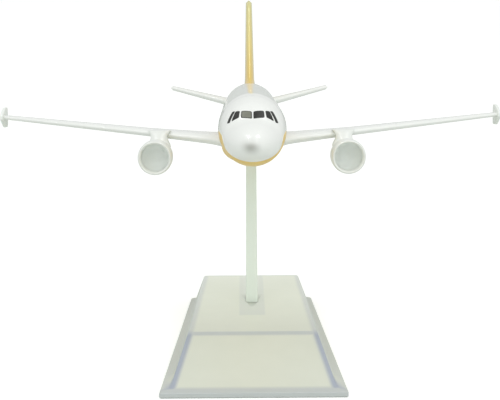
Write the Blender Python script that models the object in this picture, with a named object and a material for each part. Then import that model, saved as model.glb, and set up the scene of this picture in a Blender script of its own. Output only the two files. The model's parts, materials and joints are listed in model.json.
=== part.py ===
"""Desktop airliner model on a moulded plastic stand.

A die-cast twin-engine airliner of 16 cm stands nose-up on a post, which plugs into a hollow drafted base.
The airliner lifts off the post's tongue, and the post pulls out of the base's socket.

Frame: metres, +Z up, nose towards -Y, right wing towards +X, desk at z = 0, origin under the middle of the
whole object. The airliner's pieces are modelled level, x to the right, y aft of the nose and z up from the
fuselage's axis, under an empty that tilts them. Sizes of the airliner are those of the full-size aircraft in
metres, times SCALE. Fits, walls and stand sizes are in millimetres, times MM.
"""

import math

import bmesh
import bpy

MM = 0.001
FULL_LENGTH = 37.57
MODEL_LENGTH = 160 * MM
SCALE = MODEL_LENGTH / FULL_LENGTH
GAP = 0.3 * MM

# The airliner's attitude on its stand
NOSE_UP = math.radians(4.0)
NOSE_Y = -80.4 * MM
NOSE_AXIS_Z = 68.5 * MM

# Fuselage stations: distance from the nose, half width, top and bottom, full-size metres
STATIONS = (
    (0.00, 0.12, -0.48, -0.72),
    (0.20, 0.50, -0.17, -1.00),
    (0.70, 0.93, 0.17, -1.31),
    (1.50, 1.32, 0.50, -1.60),
    (2.30, 1.58, 0.78, -1.80),
    (2.90, 1.70, 1.19, -1.89),
    (3.80, 1.84, 1.66, -1.99),
    (5.00, 1.94, 1.96, -2.05),
    (6.40, 1.975, 2.07, -2.07),
    (24.5, 1.975, 2.07, -2.07),
    (27.0, 1.92, 2.07, -1.83),
    (30.0, 1.62, 2.03, -1.15),
    (33.0, 1.13, 1.92, -0.33),
    (35.6, 0.66, 1.68, 0.36),
    (37.57, 0.28, 1.30, 0.74),
)
ARC_STEPS = 12
FUSELAGE_WALL = 1.2 * MM
CORE_FRONT = 3.6
CORE_BACK = 30.4

# Belly fairing stations: distance from the nose, half width and bottom, full-size metres
FAIRING_STATIONS = (
    (10.6, 1.45, -2.28),
    (11.8, 1.93, -2.50),
    (13.2, 2.07, -2.60),
    (18.8, 2.07, -2.60),
    (20.2, 1.90, -2.48),
    (21.4, 1.45, -2.28),
)
FAIRING_TOP = -0.63
FAIRING_CORNER = 2.5
FAIRING_STEPS = 28

# Wing sections: distance out, leading edge, chord, height of the mid plane, thickness in millimetres
WING_SECTIONS = (
    (1.20, 11.45, 6.50, -1.15, 3.4),
    (6.40, 14.15, 3.85, -0.76, 2.3),
    (16.90, 19.70, 1.55, 0.04, 1.3),
)
WING_TAB = (13.4, 16.4, 2.0)  # from, to and thickness in millimetres
WING_TAB_REACH = (4.4 * MM, 11.0 * MM)

FENCE_OUT = 17.03
FENCE_THICKNESS = 0.9 * MM
FENCE_OUTLINE = ((19.40, -0.12), (20.55, -0.69), (21.35, -0.69), (21.45, 0.0), (21.35, 0.69),
                 (20.55, 0.69), (19.40, 0.22))

# Tailplane sections, as the wing's, and the fin's with height in place of distance out
TAILPLANE_SECTIONS = (
    (0.55, 30.95, 3.90, 0.19, 2.3),
    (6.22, 34.55, 1.45, 1.51, 1.2),
)
TAILPLANE_TAB = (32.2, 33.8, 1.2)
TAILPLANE_TAB_REACH = (2.0 * MM, 7.0 * MM)
FIN_SECTIONS = (
    (1.10, 28.10, 7.00, 3.2),
    (8.46, 34.75, 2.55, 2.0),
)
FIN_TAB = (30.8, 33.2, 1.6)
FIN_TAB_HEIGHTS = (1.15, 2.35)

# Engine nacelles: turned profiles as (radius, distance behind the inlet lip) in millimetres
ENGINE_OUT = 6.03
ENGINE_LIP = 10.85
ENGINE_HEIGHT = -2.084
CUP_RADIUS = 3.6
CUP_DEPTH = 6.2
NACELLE_PROFILE = ((0.0, CUP_DEPTH), (CUP_RADIUS, CUP_DEPTH), (CUP_RADIUS, 1.2), (3.85, 0.3), (4.15, 0.0),
                   (4.45, 0.5), (4.62, 2.2), (4.60, 6.0), (4.30, 9.5), (3.70, 13.0), (3.00, 16.6),
                   (2.55, 18.7), (2.20, 18.7), (2.40, 14.0), (0.0, 14.0))
FAN_PROFILE = ((0.0, 5.9), (3.3, 5.9), (3.3, 5.1), (1.1, 5.1), (0.85, 4.5), (0.45, 4.1), (0.0, 4.0))
CONE_PROFILE = ((0.0, 21.4), (0.55, 21.0), (1.4, 18.9), (1.85, 16.0), (1.95, 14.3), (0.0, 14.3))
TURNED_STEPS = 24
PYLON_INBOARD = 0.6 * MM
# Pylon sections: height over the engine axis, front, back and width in millimetres
PYLON_SECTIONS = ((2.8, 5.2, 16.0, 4.3), (4.0, 6.2, 17.2, 4.1), (6.6, 9.6, 19.5, 4.6))
PYLON_NOSE = 2.0 * MM
PYLON_TAIL = 3.0 * MM
PEG_RADIUS = 0.7 * MM
PEG_BACK = 16.2 * MM
PEG_HEIGHTS = (-1.6 * MM, 1.1 * MM)  # from the wing's lower face

# Belly screws, which clamp fairing, lower and upper halves
SCREW_STATIONS = (("front", 12.5), ("rear", 20.1))
SCREW_HEAD_RADIUS = 1.1 * MM
SCREW_HEAD_HEIGHT = 0.7 * MM
SCREW_SHANK_RADIUS = 0.6 * MM
SCREW_SHANK_LENGTH = 6.0 * MM
SCREW_SEAT_Z = -10.0 * MM
COLUMN_RADIUS = 1.7 * MM
COLUMN_BOTTOM = -1.50
COLUMN_TOP = 1.92
SCREW_HOLE_TOP = -3.2 * MM
SCREW_HEAD_CHAMFER = 0.2 * MM
BELOW_BELLY = -14.0 * MM

# Stand base, millimetres: the flange plate and the drafted block on it
FLANGE_FRONT_Y = -63.5
FLANGE_BACK_Y = 28.3
FLANGE_FRONT_HALF = 23.75
FLANGE_BACK_HALF = 19.1
FLANGE_THICKNESS = 1.5
BLOCK_TOP = 9.3
BLOCK_FRONT_Y = -61.0
BLOCK_CREASE_Y = -38.7
BLOCK_TOP_BACK_Y = 26.5
BLOCK_BACK_Y = 28.0
CREASE_HALF = 17.4
PLAN_TAPER = 0.04
SIDE_DRAFT = math.radians(20)
BASE_WALL = 1.3

# Post and its two joints, millimetres
POST_STATION = 18.2  # full-size metres behind the nose
POST_FOOT = (3.4, 4.4)
POST_HEAD = (3.0, 4.0)
TENON = (2.8, 3.8)
TENON_BOTTOM = 5.3
BOSS_HALF = 3.65
BOSS_BOTTOM = 4.2
TONGUE = (2.0, 3.0)
TONGUE_LENGTH = 8.0
COLLAR = (4.6, 5.6)
COLLAR_HEIGHT = 6.6
FAIRING_BOTTOM = -2.60


def clear_scene():
    for obj in list(bpy.data.objects):
        bpy.data.objects.remove(obj, do_unlink=True)


def linear(channel):
    return channel / 12.92 if channel <= 0.04045 else ((channel + 0.055) / 1.055) ** 2.4


def make_material(name, hex_colour, roughness, metallic=0.0, alpha=1.0):
    material = bpy.data.materials.new(name)
    material.use_nodes = True
    shader = material.node_tree.nodes["Principled BSDF"]
    channels = [int(hex_colour[i:i + 2], 16) / 255 for i in (0, 2, 4)]
    shader.inputs["Base Color"].default_value = (*map(linear, channels), 1.0)
    shader.inputs["Roughness"].default_value = roughness
    shader.inputs["Metallic"].default_value = metallic
    shader.inputs["Alpha"].default_value = alpha
    material.diffuse_color = (*map(linear, channels), alpha)
    return material


def add_empty(name, location, tilt=0.0):
    empty = bpy.data.objects.new(name, None)
    empty.empty_display_size = 0.01
    empty.location = location
    empty.rotation_euler = (tilt, 0.0, 0.0)
    bpy.context.scene.collection.objects.link(empty)
    return empty


def finish_mesh(name, bm, parent, material=None, smooth=True):
    """An object from a closed bmesh, smooth except at sharp edges. With no material it is a hidden tool."""
    bmesh.ops.recalc_face_normals(bm, faces=bm.faces)
    mesh = bpy.data.meshes.new(name)
    bm.to_mesh(mesh)
    bm.free()
    if smooth:
        mesh.shade_smooth()
        mesh.set_sharp_from_angle(angle=math.radians(35))
    obj = bpy.data.objects.new(name, mesh)
    obj.parent = parent
    bpy.context.scene.collection.objects.link(obj)
    if material is None:
        obj.hide_render = True
        obj.display_type = "WIRE"
    else:
        mesh.materials.append(material)
    return obj


def skin(name, rings, parent, material=None, smooth=True):
    """A closed solid through rings of equal length, with both ends capped."""
    bm = bmesh.new()
    loops = [[bm.verts.new(point) for point in ring] for ring in rings]
    count = len(rings[0])
    for near, far in zip(loops, loops[1:]):
        for i in range(count):
            j = (i + 1) % count
            bm.faces.new((near[i], near[j], far[j], far[i]))
    bm.faces.new(loops[0])
    bm.faces.new(reversed(loops[-1]))
    return finish_mesh(name, bm, parent, material, smooth)


def turned(name, profile, centre, parent, material=None, axis=(0.0, 1.0, 0.0)):
    """A solid of revolution. The profile gives (radius, distance along the axis), from axis back to axis."""
    bm = bmesh.new()
    along_y = axis[1] != 0.0
    points = []
    for radius, distance in profile:
        offset = (radius, distance, 0.0) if along_y else (radius, 0.0, distance)
        points.append(bm.verts.new([c + o for c, o in zip(centre, offset)]))
    edges = [bm.edges.new(pair) for pair in zip(points, points[1:])]
    bmesh.ops.spin(bm, geom=points + edges, cent=centre, axis=axis, angle=math.tau,
                   steps=TURNED_STEPS, use_merge=True)
    bmesh.ops.remove_doubles(bm, verts=bm.verts, dist=0.001 * MM)
    return finish_mesh(name, bm, parent, material)


def box(name, low, high, parent, material=None):
    """A box between two corners."""
    corners = ((low[0], low[1]), (high[0], low[1]), (high[0], high[1]), (low[0], high[1]))
    rings = [[(x, y, z) for x, y in corners] for z in (low[2], high[2])]
    return skin(name, rings, parent, material, smooth=False)


def cut(obj, tool, operation="DIFFERENCE"):
    modifier = obj.modifiers.new(f"{operation.lower()} {tool.name}", "BOOLEAN")
    modifier.operation = operation
    modifier.solver = "EXACT"
    modifier.object = tool
    return obj


def join(obj, tool):
    return cut(obj, tool, "UNION")


def between(stations, x):
    """A row of the stations at x, by straight lines between the given ones."""
    for near, far in zip(stations, stations[1:]):
        if near[0] <= x <= far[0]:
            share = (x - near[0]) / (far[0] - near[0])
            return tuple(a + share * (b - a) for a, b in zip(near, far))
    raise ValueError(x)


# ---- the airliner's shapes, in its own level frame ----

def fuselage_arc(station, start, stop, steps, grow=0.0, split=0.0):
    """Part of a fuselage section: two half ellipses that meet at the section's middle height."""
    x, half, top, bottom = (value * SCALE for value in station)
    middle = (top + bottom) / 2
    points = []
    side = split if stop <= 180 else -split
    for i in range(steps + 1):
        angle = math.radians(start + (stop - start) * i / steps)
        reach = (top - bottom) / 2 + grow - abs(split)
        points.append(((half + grow) * math.cos(angle), x, middle + side + reach * math.sin(angle)))
    return points


def fuselage_half(name, upper, parent, material):
    """Upper or lower half of the fuselage, solid, with half the split's gap left open."""
    start, stop = (0, 180) if upper else (180, 360)
    rings = [fuselage_arc(s, start, stop, ARC_STEPS, split=GAP / 2) for s in STATIONS]
    return skin(name, rings, parent, material)


def fuselage_tool(name, parent, grow, front, back):
    """The whole fuselage, grown or shrunk, between two stations."""
    inner = [s for s in STATIONS if front < s[0] < back]
    stations = [between(STATIONS, front), *inner, between(STATIONS, back)]
    rings = [fuselage_arc(s, 0, 360, 2 * ARC_STEPS, grow)[:-1] for s in stations]
    return skin(name, rings, parent)


AEROFOIL = ((0.0, 0.0), (0.025, 0.42), (0.12, 0.86), (0.35, 1.0), (0.65, 0.72), (1.0, 0.26))


def aerofoil_ring(place, lead, chord, thickness, grow=0.0):
    """A section around a chord line: place(x, t) puts distance aft and thickness offset into space."""
    lead = lead * SCALE - grow
    chord = chord * SCALE + 2 * grow
    half = thickness * MM / 2 + grow
    over = [place(lead + share * chord, half * height) for share, height in AEROFOIL]
    under = [place(lead + share * chord, -half * height) for share, height in reversed(AEROFOIL[1:])]
    return over + under


def lateral_wing(name, sections, side, parent, material=None, grow=0.0):
    """A wing or tailplane: aerofoil sections at given distances out on one side."""
    rings = []
    for out, lead, chord, height, thickness in sections:
        def place(y, t, out=out, height=height):
            return (side * out * SCALE, y, height * SCALE + t)
        rings.append(aerofoil_ring(place, lead, chord, thickness, grow))
    return skin(name, rings, parent, material)


def height_at(sections, out):
    """Mid-plane height of a wing or tailplane at a distance out, model metres."""
    return between([(s[0], s[3]) for s in sections], out)[1] * SCALE


def root_tab(name, tab, reach, side, height, parent, grow=0.0):
    """The flat tab at a wing's root, or with grow its slot, from the inner to the outer reach."""
    front, back, thickness = tab
    inner, outer = reach
    x = sorted((side * (inner - grow), side * (outer + grow)))
    half = thickness * MM / 2 + grow
    low = (x[0], front * SCALE - grow, height - half)
    high = (x[1], back * SCALE + grow, height + half)
    return box(name, low, high, parent)


def build_fuselage(frame, white):
    upper = fuselage_half("fuselage_upper", True, frame, white)
    lower = fuselage_half("fuselage_lower", False, frame, white)
    core = fuselage_tool("fuselage_core", frame, -FUSELAGE_WALL, CORE_FRONT, CORE_BACK)
    cut(upper, core)
    cut(lower, core)
    return upper, lower


def build_fairing(frame, amber, grown_fuselage):
    """A saddle under the fuselage: rounded sections, cut by the fuselage with a gap left round it."""
    rings = []
    for x, half, bottom in FAIRING_STATIONS:
        middle = (FAIRING_TOP + bottom) / 2
        reach = (FAIRING_TOP - bottom) / 2
        ring = []
        for i in range(FAIRING_STEPS):
            angle = math.tau * i / FAIRING_STEPS
            c, s = math.cos(angle), math.sin(angle)
            wide = math.copysign(abs(c) ** (2 / FAIRING_CORNER), c)
            tall = math.copysign(abs(s) ** (2 / FAIRING_CORNER), s)
            ring.append((half * wide * SCALE, x * SCALE, (middle + reach * tall) * SCALE))
        rings.append(ring)
    return cut(skin("belly_fairing", rings, frame, amber), grown_fuselage)


def build_wings(frame, paints, fairing, lower, grown_fuselage):
    tab_height = height_at(WING_SECTIONS, 1.8)
    for side, word in ((-1, "left"), (1, "right")):
        wing = lateral_wing(f"{word}_wing", WING_SECTIONS, side, frame, paints["white"])
        cut(wing, grown_fuselage)
        tab = root_tab(f"{word}_wing_tab", WING_TAB, WING_TAB_REACH, side, tab_height, frame)
        join(wing, tab)
        pocket = lateral_wing(f"{word}_wing_pocket", WING_SECTIONS, side, frame, grow=GAP)
        cut(fairing, pocket)
        slot = root_tab(f"{word}_wing_slot", WING_TAB, WING_TAB_REACH, side, tab_height, frame, GAP)
        cut(lower, slot)
        build_fence(word, side, frame, paints["fence"])
        build_engine(word, side, wing, frame, paints)


def build_fence(word, side, frame, material):
    """A thin arrow-shaped plate that stands above and below the wing's tip."""
    rings = []
    for offset in (-FENCE_THICKNESS / 2, FENCE_THICKNESS / 2):
        out = side * FENCE_OUT * SCALE + offset
        rings.append([(out, x * SCALE, z * SCALE) for x, z in FENCE_OUTLINE])
    return skin(f"{word}_wingtip_fence", rings, frame, material)


def build_engine(word, side, wing, frame, paints):
    """Nacelle with its pylon, the fan disc in its mouth and the exhaust cone in its nozzle."""
    centre = (side * ENGINE_OUT * SCALE, ENGINE_LIP * SCALE, ENGINE_HEIGHT * SCALE)
    profile = [(r * MM, s * MM) for r, s in NACELLE_PROFILE]
    nacelle = turned(f"{word}_nacelle", profile, centre, frame, paints["nacelle"])
    mid = centre[0] - side * PYLON_INBOARD
    rings = []
    for height, front, back, width in PYLON_SECTIONS:
        half = width * MM / 2
        y0, y1 = centre[1] + front * MM, centre[1] + back * MM
        front_y, back_y = y0 + PYLON_NOSE, y1 - PYLON_TAIL
        outline = ((-half, front_y), (-half / 2, y0), (half / 2, y0), (half, front_y),
                   (half, back_y), (half / 4, y1), (-half / 4, y1), (-half, back_y))
        rings.append([(mid + x, y, centre[2] + height * MM) for x, y in outline])
    pylon = skin(f"{word}_pylon", rings, frame)
    cut(pylon, lateral_wing(f"{word}_wing_clearance", WING_SECTIONS, side, frame, grow=GAP))
    cup_line = ((0.0, CUP_DEPTH), (CUP_RADIUS, CUP_DEPTH), (CUP_RADIUS, -1.0), (0.0, -1.0))
    bore = turned(f"{word}_cup", [(r * MM, s * MM) for r, s in cup_line], centre, frame)
    join(nacelle, pylon)
    cut(nacelle, bore)
    add_peg(word, side, nacelle, wing, mid, centre, frame)
    for name, line in (("fan_disc", FAN_PROFILE), ("exhaust_cone", CONE_PROFILE)):
        turned(f"{word}_{name}", [(r * MM, s * MM) for r, s in line], centre, frame, paints[name])


def add_peg(word, side, nacelle, wing, mid, centre, frame):
    """A round peg on the pylon, and its blind hole in the wing's lower face."""
    y = centre[1] + PEG_BACK
    out = abs(mid) / SCALE
    wing_row = between(WING_SECTIONS, out)
    lower_face = wing_row[3] * SCALE - wing_row[4] * MM / 2
    start, stop = (lower_face + height for height in PEG_HEIGHTS)
    peg_line = [(0.0, stop), (PEG_RADIUS, stop), (PEG_RADIUS, start), (0.0, start)]
    join(nacelle, turned(f"{word}_peg", peg_line, (mid, y, 0.0), frame, axis=(0.0, 0.0, 1.0)))
    wide = PEG_RADIUS + GAP
    hole_line = [(0.0, stop + GAP), (wide, stop + GAP), (wide, start), (0.0, start)]
    cut(wing, turned(f"{word}_peg_hole", hole_line, (mid, y, 0.0), frame, axis=(0.0, 0.0, 1.0)))


def build_tail(frame, paints, upper, lower, grown_fuselage):
    rings = []
    for height, lead, chord, thickness in FIN_SECTIONS:
        def place(y, t, height=height):
            return (t, y, height * SCALE)
        rings.append(aerofoil_ring(place, lead, chord, thickness))
    fin = cut(skin("tail_fin", rings, frame, paints["amber"]), grown_fuselage)
    for grow, target in ((0.0, fin), (GAP, upper)):
        half = FIN_TAB[2] * MM / 2 + grow
        low = (-half, FIN_TAB[0] * SCALE - grow, FIN_TAB_HEIGHTS[0] * SCALE - grow)
        high = (half, FIN_TAB[1] * SCALE + grow, FIN_TAB_HEIGHTS[1] * SCALE + grow)
        tab = box("fin_slot" if grow else "fin_tab", low, high, frame)
        cut(target, tab, "DIFFERENCE" if grow else "UNION")
    tab_height = height_at(TAILPLANE_SECTIONS, 1.0)
    for side, word in ((-1, "left"), (1, "right")):
        tailplane = lateral_wing(f"{word}_tailplane", TAILPLANE_SECTIONS, side, frame, paints["white"])
        cut(tailplane, grown_fuselage)
        for grow, target in ((0.0, tailplane), (GAP, lower)):
            name = f"{word}_tailplane_slot" if grow else f"{word}_tailplane_tab"
            tab = root_tab(name, TAILPLANE_TAB, TAILPLANE_TAB_REACH, side, tab_height, frame, grow)
            cut(target, tab, "DIFFERENCE" if grow else "UNION")


def build_screws(frame, steel, fairing, upper, lower):
    """Columns hang from the roof, and each screw clamps fairing and lower half up against one."""
    for word, station in SCREW_STATIONS:
        place = (0.0, station * SCALE, 0.0)
        up = (0.0, 0.0, 1.0)

        def cylinder(name, radius, bottom, top, material=None, place=place, up=up):
            line = [(0.0, top), (radius, top), (radius, bottom), (0.0, bottom)]
            return turned(name, line, place, frame, material, up)

        join(upper, cylinder(f"{word}_column", COLUMN_RADIUS, COLUMN_BOTTOM * SCALE, COLUMN_TOP * SCALE))
        hole_radius = SCREW_SHANK_RADIUS + GAP
        shank_hole = cylinder(f"{word}_screw_hole", hole_radius, BELOW_BELLY, SCREW_HOLE_TOP)
        for target in (fairing, lower, upper):
            cut(target, shank_hole)
        head_hole = SCREW_HEAD_RADIUS + GAP
        cut(fairing, cylinder(f"{word}_counterbore", head_hole, BELOW_BELLY, SCREW_SEAT_Z + GAP))
        head_bottom = SCREW_SEAT_Z - SCREW_HEAD_HEIGHT
        shank_top = SCREW_SEAT_Z + SCREW_SHANK_LENGTH
        line = [(0.0, shank_top), (SCREW_SHANK_RADIUS, shank_top), (SCREW_SHANK_RADIUS, SCREW_SEAT_Z),
                (SCREW_HEAD_RADIUS, SCREW_SEAT_Z), (SCREW_HEAD_RADIUS, head_bottom + SCREW_HEAD_CHAMFER),
                (SCREW_HEAD_RADIUS - SCREW_HEAD_CHAMFER, head_bottom), (0.0, head_bottom)]
        turned(f"{word}_belly_screw", line, place, frame, steel, up)


def build_stand_socket(frame, fairing, lower):
    """A collar inside the lower half, and the slot for the post's tongue up through all three walls."""
    y = POST_STATION * SCALE
    floor = -2.0 * SCALE
    low = (-COLLAR[0] * MM / 2, y - COLLAR[1] * MM / 2, floor)
    high = (COLLAR[0] * MM / 2, y + COLLAR[1] * MM / 2, floor + COLLAR_HEIGHT * MM)
    join(lower, box("post_collar", low, high, frame))
    half_x, half_y = TONGUE[0] * MM / 2 + GAP, TONGUE[1] * MM / 2 + GAP
    slot = box("tongue_slot", (-half_x, y - half_y, BELOW_BELLY), (half_x, y + half_y, 0.0), frame)
    cut(fairing, slot)
    cut(lower, slot)


# ---- the stand, in world millimetres ----

def block_half(y, z):
    """Half width of the drafted block at a place on its side: it narrows towards the back and the top."""
    return CREASE_HALF - PLAN_TAPER * (y - BLOCK_CREASE_Y) + math.tan(SIDE_DRAFT) * (BLOCK_TOP - z)


def block_outline(bottom, inset):
    """The block's side view, inset by a wall, from the front foot round to the back foot."""
    run = BLOCK_CREASE_Y - BLOCK_FRONT_Y
    rise = BLOCK_TOP - FLANGE_THICKNESS
    slope = math.hypot(run, rise)
    back_run = BLOCK_BACK_Y - BLOCK_TOP_BACK_Y
    top = BLOCK_TOP - inset
    front_shift = inset * slope / rise

    def front_y(z):
        return BLOCK_FRONT_Y + (z - FLANGE_THICKNESS) * run / rise + front_shift

    def back_y(z):
        return BLOCK_BACK_Y - (z - FLANGE_THICKNESS) * back_run / rise - inset

    return ((front_y(bottom), bottom), (front_y(top), top), (back_y(top), top), (back_y(bottom), bottom))


def block(name, bottom, inset, parent, material=None):
    side_inset = inset / math.cos(SIDE_DRAFT)
    rings = []
    for sign in (-1, 1):
        outline = block_outline(bottom, inset)
        rings.append([(sign * (block_half(y, z) - side_inset) * MM, y * MM, z * MM) for y, z in outline])
    return skin(name, rings, parent, material, smooth=False)


def build_base(parent, frosted, post_y):
    corners = ((-FLANGE_FRONT_HALF, FLANGE_FRONT_Y), (FLANGE_FRONT_HALF, FLANGE_FRONT_Y),
               (FLANGE_BACK_HALF, FLANGE_BACK_Y), (-FLANGE_BACK_HALF, FLANGE_BACK_Y))
    rings = [[(x * MM, y * MM, z * MM) for x, y in corners] for z in (0.0, FLANGE_THICKNESS)]
    base = skin("stand_base", rings, parent, frosted, smooth=False)
    join(base, block("base_block", 0.5, 0.0, parent))
    cut(base, block("base_hollow", -0.5, BASE_WALL, parent))
    half = BOSS_HALF * MM
    boss_top = (BLOCK_TOP - BASE_WALL / 2) * MM
    low, high = (-half, post_y - half, BOSS_BOTTOM * MM), (half, post_y + half, boss_top)
    join(base, box("socket_boss", low, high, parent))
    half_x, half_y = TENON[0] * MM / 2 + GAP, TENON[1] * MM / 2 + GAP
    low = (-half_x, post_y - half_y, TENON_BOTTOM * MM - GAP)
    high = (half_x, post_y + half_y, (BLOCK_TOP + 1) * MM)
    return cut(base, box("tenon_socket", low, high, parent))


def rectangle(size, y, z, tilt=0.0):
    """A rectangle's corners in space, x by y in millimetres, leaned with the airliner by its tilt."""
    half_x, half_y = size[0] * MM / 2, size[1] * MM / 2
    corners = ((-half_x, -half_y), (half_x, -half_y), (half_x, half_y), (-half_x, half_y))
    return [(x, y + v * math.cos(tilt), z - v * math.sin(tilt)) for x, v in corners]


def build_post(parent, frosted, post_y, belly):
    """Tenon, shoulder, tapered shaft and the tongue, which leans with the airliner."""
    shoulder = BLOCK_TOP * MM + GAP
    up_y, up_z = math.sin(NOSE_UP), math.cos(NOSE_UP)
    head_y, head_z = belly[0] - GAP * up_y, belly[1] - GAP * up_z
    tip_y, tip_z = belly[0] + TONGUE_LENGTH * MM * up_y, belly[1] + TONGUE_LENGTH * MM * up_z
    small_tip = (TONGUE[0] - 0.4, TONGUE[1] - 0.4)
    chamfer = 0.6 * MM
    rings = [
        rectangle((TENON[0] - 0.4, TENON[1] - 0.4), post_y, TENON_BOTTOM * MM),
        rectangle(TENON, post_y, TENON_BOTTOM * MM + chamfer),
        rectangle(TENON, post_y, shoulder),
        rectangle(POST_FOOT, post_y, shoulder),
        rectangle(POST_HEAD, head_y, head_z, NOSE_UP),
        rectangle(TONGUE, head_y, head_z, NOSE_UP),
        rectangle(TONGUE, tip_y - chamfer * up_y, tip_z - chamfer * up_z, NOSE_UP),
        rectangle(small_tip, tip_y, tip_z, NOSE_UP),
    ]
    return skin("stand_post", rings, parent, frosted, smooth=False)


def main():
    clear_scene()
    paints = {
        "white": make_material("white_enamel", "F4F5F2", 0.25),
        "amber": make_material("amber_enamel", "E4CE7C", 0.3),
        "nacelle": make_material("white_nacelle_plastic", "F1F3EF", 0.3),
        "fence": make_material("pale_fence_plastic", "E4E8E4", 0.35),
        "fan_disc": make_material("grey_fan_plastic", "CED6CC", 0.45),
        "exhaust_cone": make_material("grey_cone_plastic", "B9BCBA", 0.4),
        "screw": make_material("zinc_plated_steel", "B5B8BA", 0.35, metallic=1.0),
        "stand": make_material("frosted_polystyrene", "E2E8E2", 0.3, alpha=0.6),
    }
    airliner = add_empty("airliner_frame", (0.0, NOSE_Y, NOSE_AXIS_Z), -NOSE_UP)
    grown = fuselage_tool("fuselage_clearance", airliner, GAP, 0.0, FULL_LENGTH)
    upper, lower = build_fuselage(airliner, paints["white"])
    fairing = build_fairing(airliner, paints["amber"], grown)
    build_wings(airliner, paints, fairing, lower, grown)
    build_tail(airliner, paints, upper, lower, grown)
    build_screws(airliner, paints["screw"], fairing, upper, lower)
    build_stand_socket(airliner, fairing, lower)

    along = POST_STATION * SCALE
    down = FAIRING_BOTTOM * SCALE
    belly_y = NOSE_Y + along * math.cos(NOSE_UP) + down * math.sin(NOSE_UP)
    belly_z = NOSE_AXIS_Z - along * math.sin(NOSE_UP) + down * math.cos(NOSE_UP)
    stand = add_empty("stand_frame", (0.0, 0.0, 0.0))
    build_base(stand, paints["stand"], belly_y)
    build_post(stand, paints["stand"], belly_y, (belly_y, belly_z))


main()
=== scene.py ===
# %% [markdown]
# # A desk model of an airliner on its stand
#
# A die-cast airliner, 16 cm long, stands nose-up on a slim plastic post, which plugs into a hollow frosted
# base. The solid model of its pieces is loaded first, as a fixed frame. Each visible piece is then made
# again with a finer surface in the same place, rides on the same body, and stands for the plain solid.

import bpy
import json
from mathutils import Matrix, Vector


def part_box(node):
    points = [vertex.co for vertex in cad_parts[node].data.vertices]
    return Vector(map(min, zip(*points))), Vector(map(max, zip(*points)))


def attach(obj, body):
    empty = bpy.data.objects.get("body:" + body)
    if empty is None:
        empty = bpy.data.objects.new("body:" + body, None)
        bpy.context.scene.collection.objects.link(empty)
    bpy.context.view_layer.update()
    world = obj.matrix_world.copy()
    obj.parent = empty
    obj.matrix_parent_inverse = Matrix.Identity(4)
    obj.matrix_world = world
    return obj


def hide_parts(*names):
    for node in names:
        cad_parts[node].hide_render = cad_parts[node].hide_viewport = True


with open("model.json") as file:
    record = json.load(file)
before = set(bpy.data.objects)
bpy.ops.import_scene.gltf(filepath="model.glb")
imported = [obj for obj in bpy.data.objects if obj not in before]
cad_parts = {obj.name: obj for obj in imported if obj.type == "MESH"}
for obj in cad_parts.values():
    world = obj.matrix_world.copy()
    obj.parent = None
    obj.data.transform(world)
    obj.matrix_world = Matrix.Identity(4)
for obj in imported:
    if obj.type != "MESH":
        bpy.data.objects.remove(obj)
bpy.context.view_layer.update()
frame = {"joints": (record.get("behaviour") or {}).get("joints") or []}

# %% Imports and units
import json
import math

import bmesh
import bpy
import numpy as np
from mathutils import Matrix, Vector

MM = 0.001
FULL_LENGTH = 37.57  # the full-size aircraft, metres
SCALE = 0.160 / FULL_LENGTH
TURN = 2 * math.pi

# %% [markdown]
# ## Where the airliner sits
#
# The airliner is worked out level, in the full-size aircraft's metres: x to the right, y aft of the nose
# and z up from the fuselage's axis. One function scales it down, tilts it nose-up and moves it onto its
# post. The tilt is the lean of the joint on which the model lifts off, and the place comes from the
# fuselage castings' boxes: the nose is their foremost point, and the crown's highest point is the front
# end of the straight barrel.

# %% The airliner's own frame
lift_axis = next(j["axis"] for j in frame["joints"] if j["name"] == "plane_lift")
TILT = math.atan2(lift_axis[1], lift_axis[2])
BARREL_FRONT = 6.4
CROWN = 2.07
CHIN_TIP = -0.72

crown_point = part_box("fuselage_upper")[1]
nose_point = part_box("fuselage_lower")[0]
NOSE_Y = nose_point.y - CHIN_TIP * SCALE * math.sin(TILT)
NOSE_Z = crown_point.z - SCALE * (CROWN * math.cos(TILT) - BARREL_FRONT * math.sin(TILT))


def seat(points):
    """Level full-size coordinates to the frame: scaled, turned nose-up about the nose, then moved."""
    p = np.asarray(points, float) * SCALE
    aft = p[..., 1] * math.cos(TILT) + p[..., 2] * math.sin(TILT)
    up = p[..., 2] * math.cos(TILT) - p[..., 1] * math.sin(TILT)
    return np.stack([p[..., 0], NOSE_Y + aft, NOSE_Z + up], axis=-1)


def mm(value):
    """Millimetres of the model as full-size metres."""
    return value * MM / SCALE


print("tilt", round(math.degrees(TILT), 2), "nose at", round(NOSE_Y, 4), round(NOSE_Z, 4))

# %% [markdown]
# ## Camera, floor and light
#
# A small model is pictured from in front with a long lens, a little above the nose. The light is a white
# tent: an even bright sky all round, and soft panels high in front. Two small cards overhead are seen only
# in reflections, and make the two highlights above the tip of the nose.

# %% Camera
PICTURE_WIDTH = 500
FOCAL_LENGTH = 1288.1 / PICTURE_WIDTH  # in picture widths
SENSOR = 36.0
CAMERA_PLACE = (-0.00243, -0.37090, 0.10832)
CAMERA_YAW, CAMERA_PITCH, CAMERA_ROLL = 0.320, 10.658, -0.314


def turn(degrees, axis):
    """The matrix of a turn about an axis."""
    return Matrix.Rotation(math.radians(degrees), 3, axis)


camera_data = bpy.data.cameras.new("camera")
camera_data.sensor_width = SENSOR
camera_data.lens = FOCAL_LENGTH * SENSOR
camera_data.clip_start = 0.01
camera = bpy.data.objects.new("camera", camera_data)
camera.location = CAMERA_PLACE
# A camera looks down its -Z. It is stood up to look along +Y, dipped, turned to the right and rolled.
camera.rotation_euler = (turn(-CAMERA_YAW, "Z") @ turn(90 - CAMERA_PITCH, "X")
                         @ turn(CAMERA_ROLL, "Z")).to_euler()
bpy.context.scene.collection.objects.link(camera)
bpy.context.scene.camera = camera
print("lens", round(camera_data.lens, 1), "mm")

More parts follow.
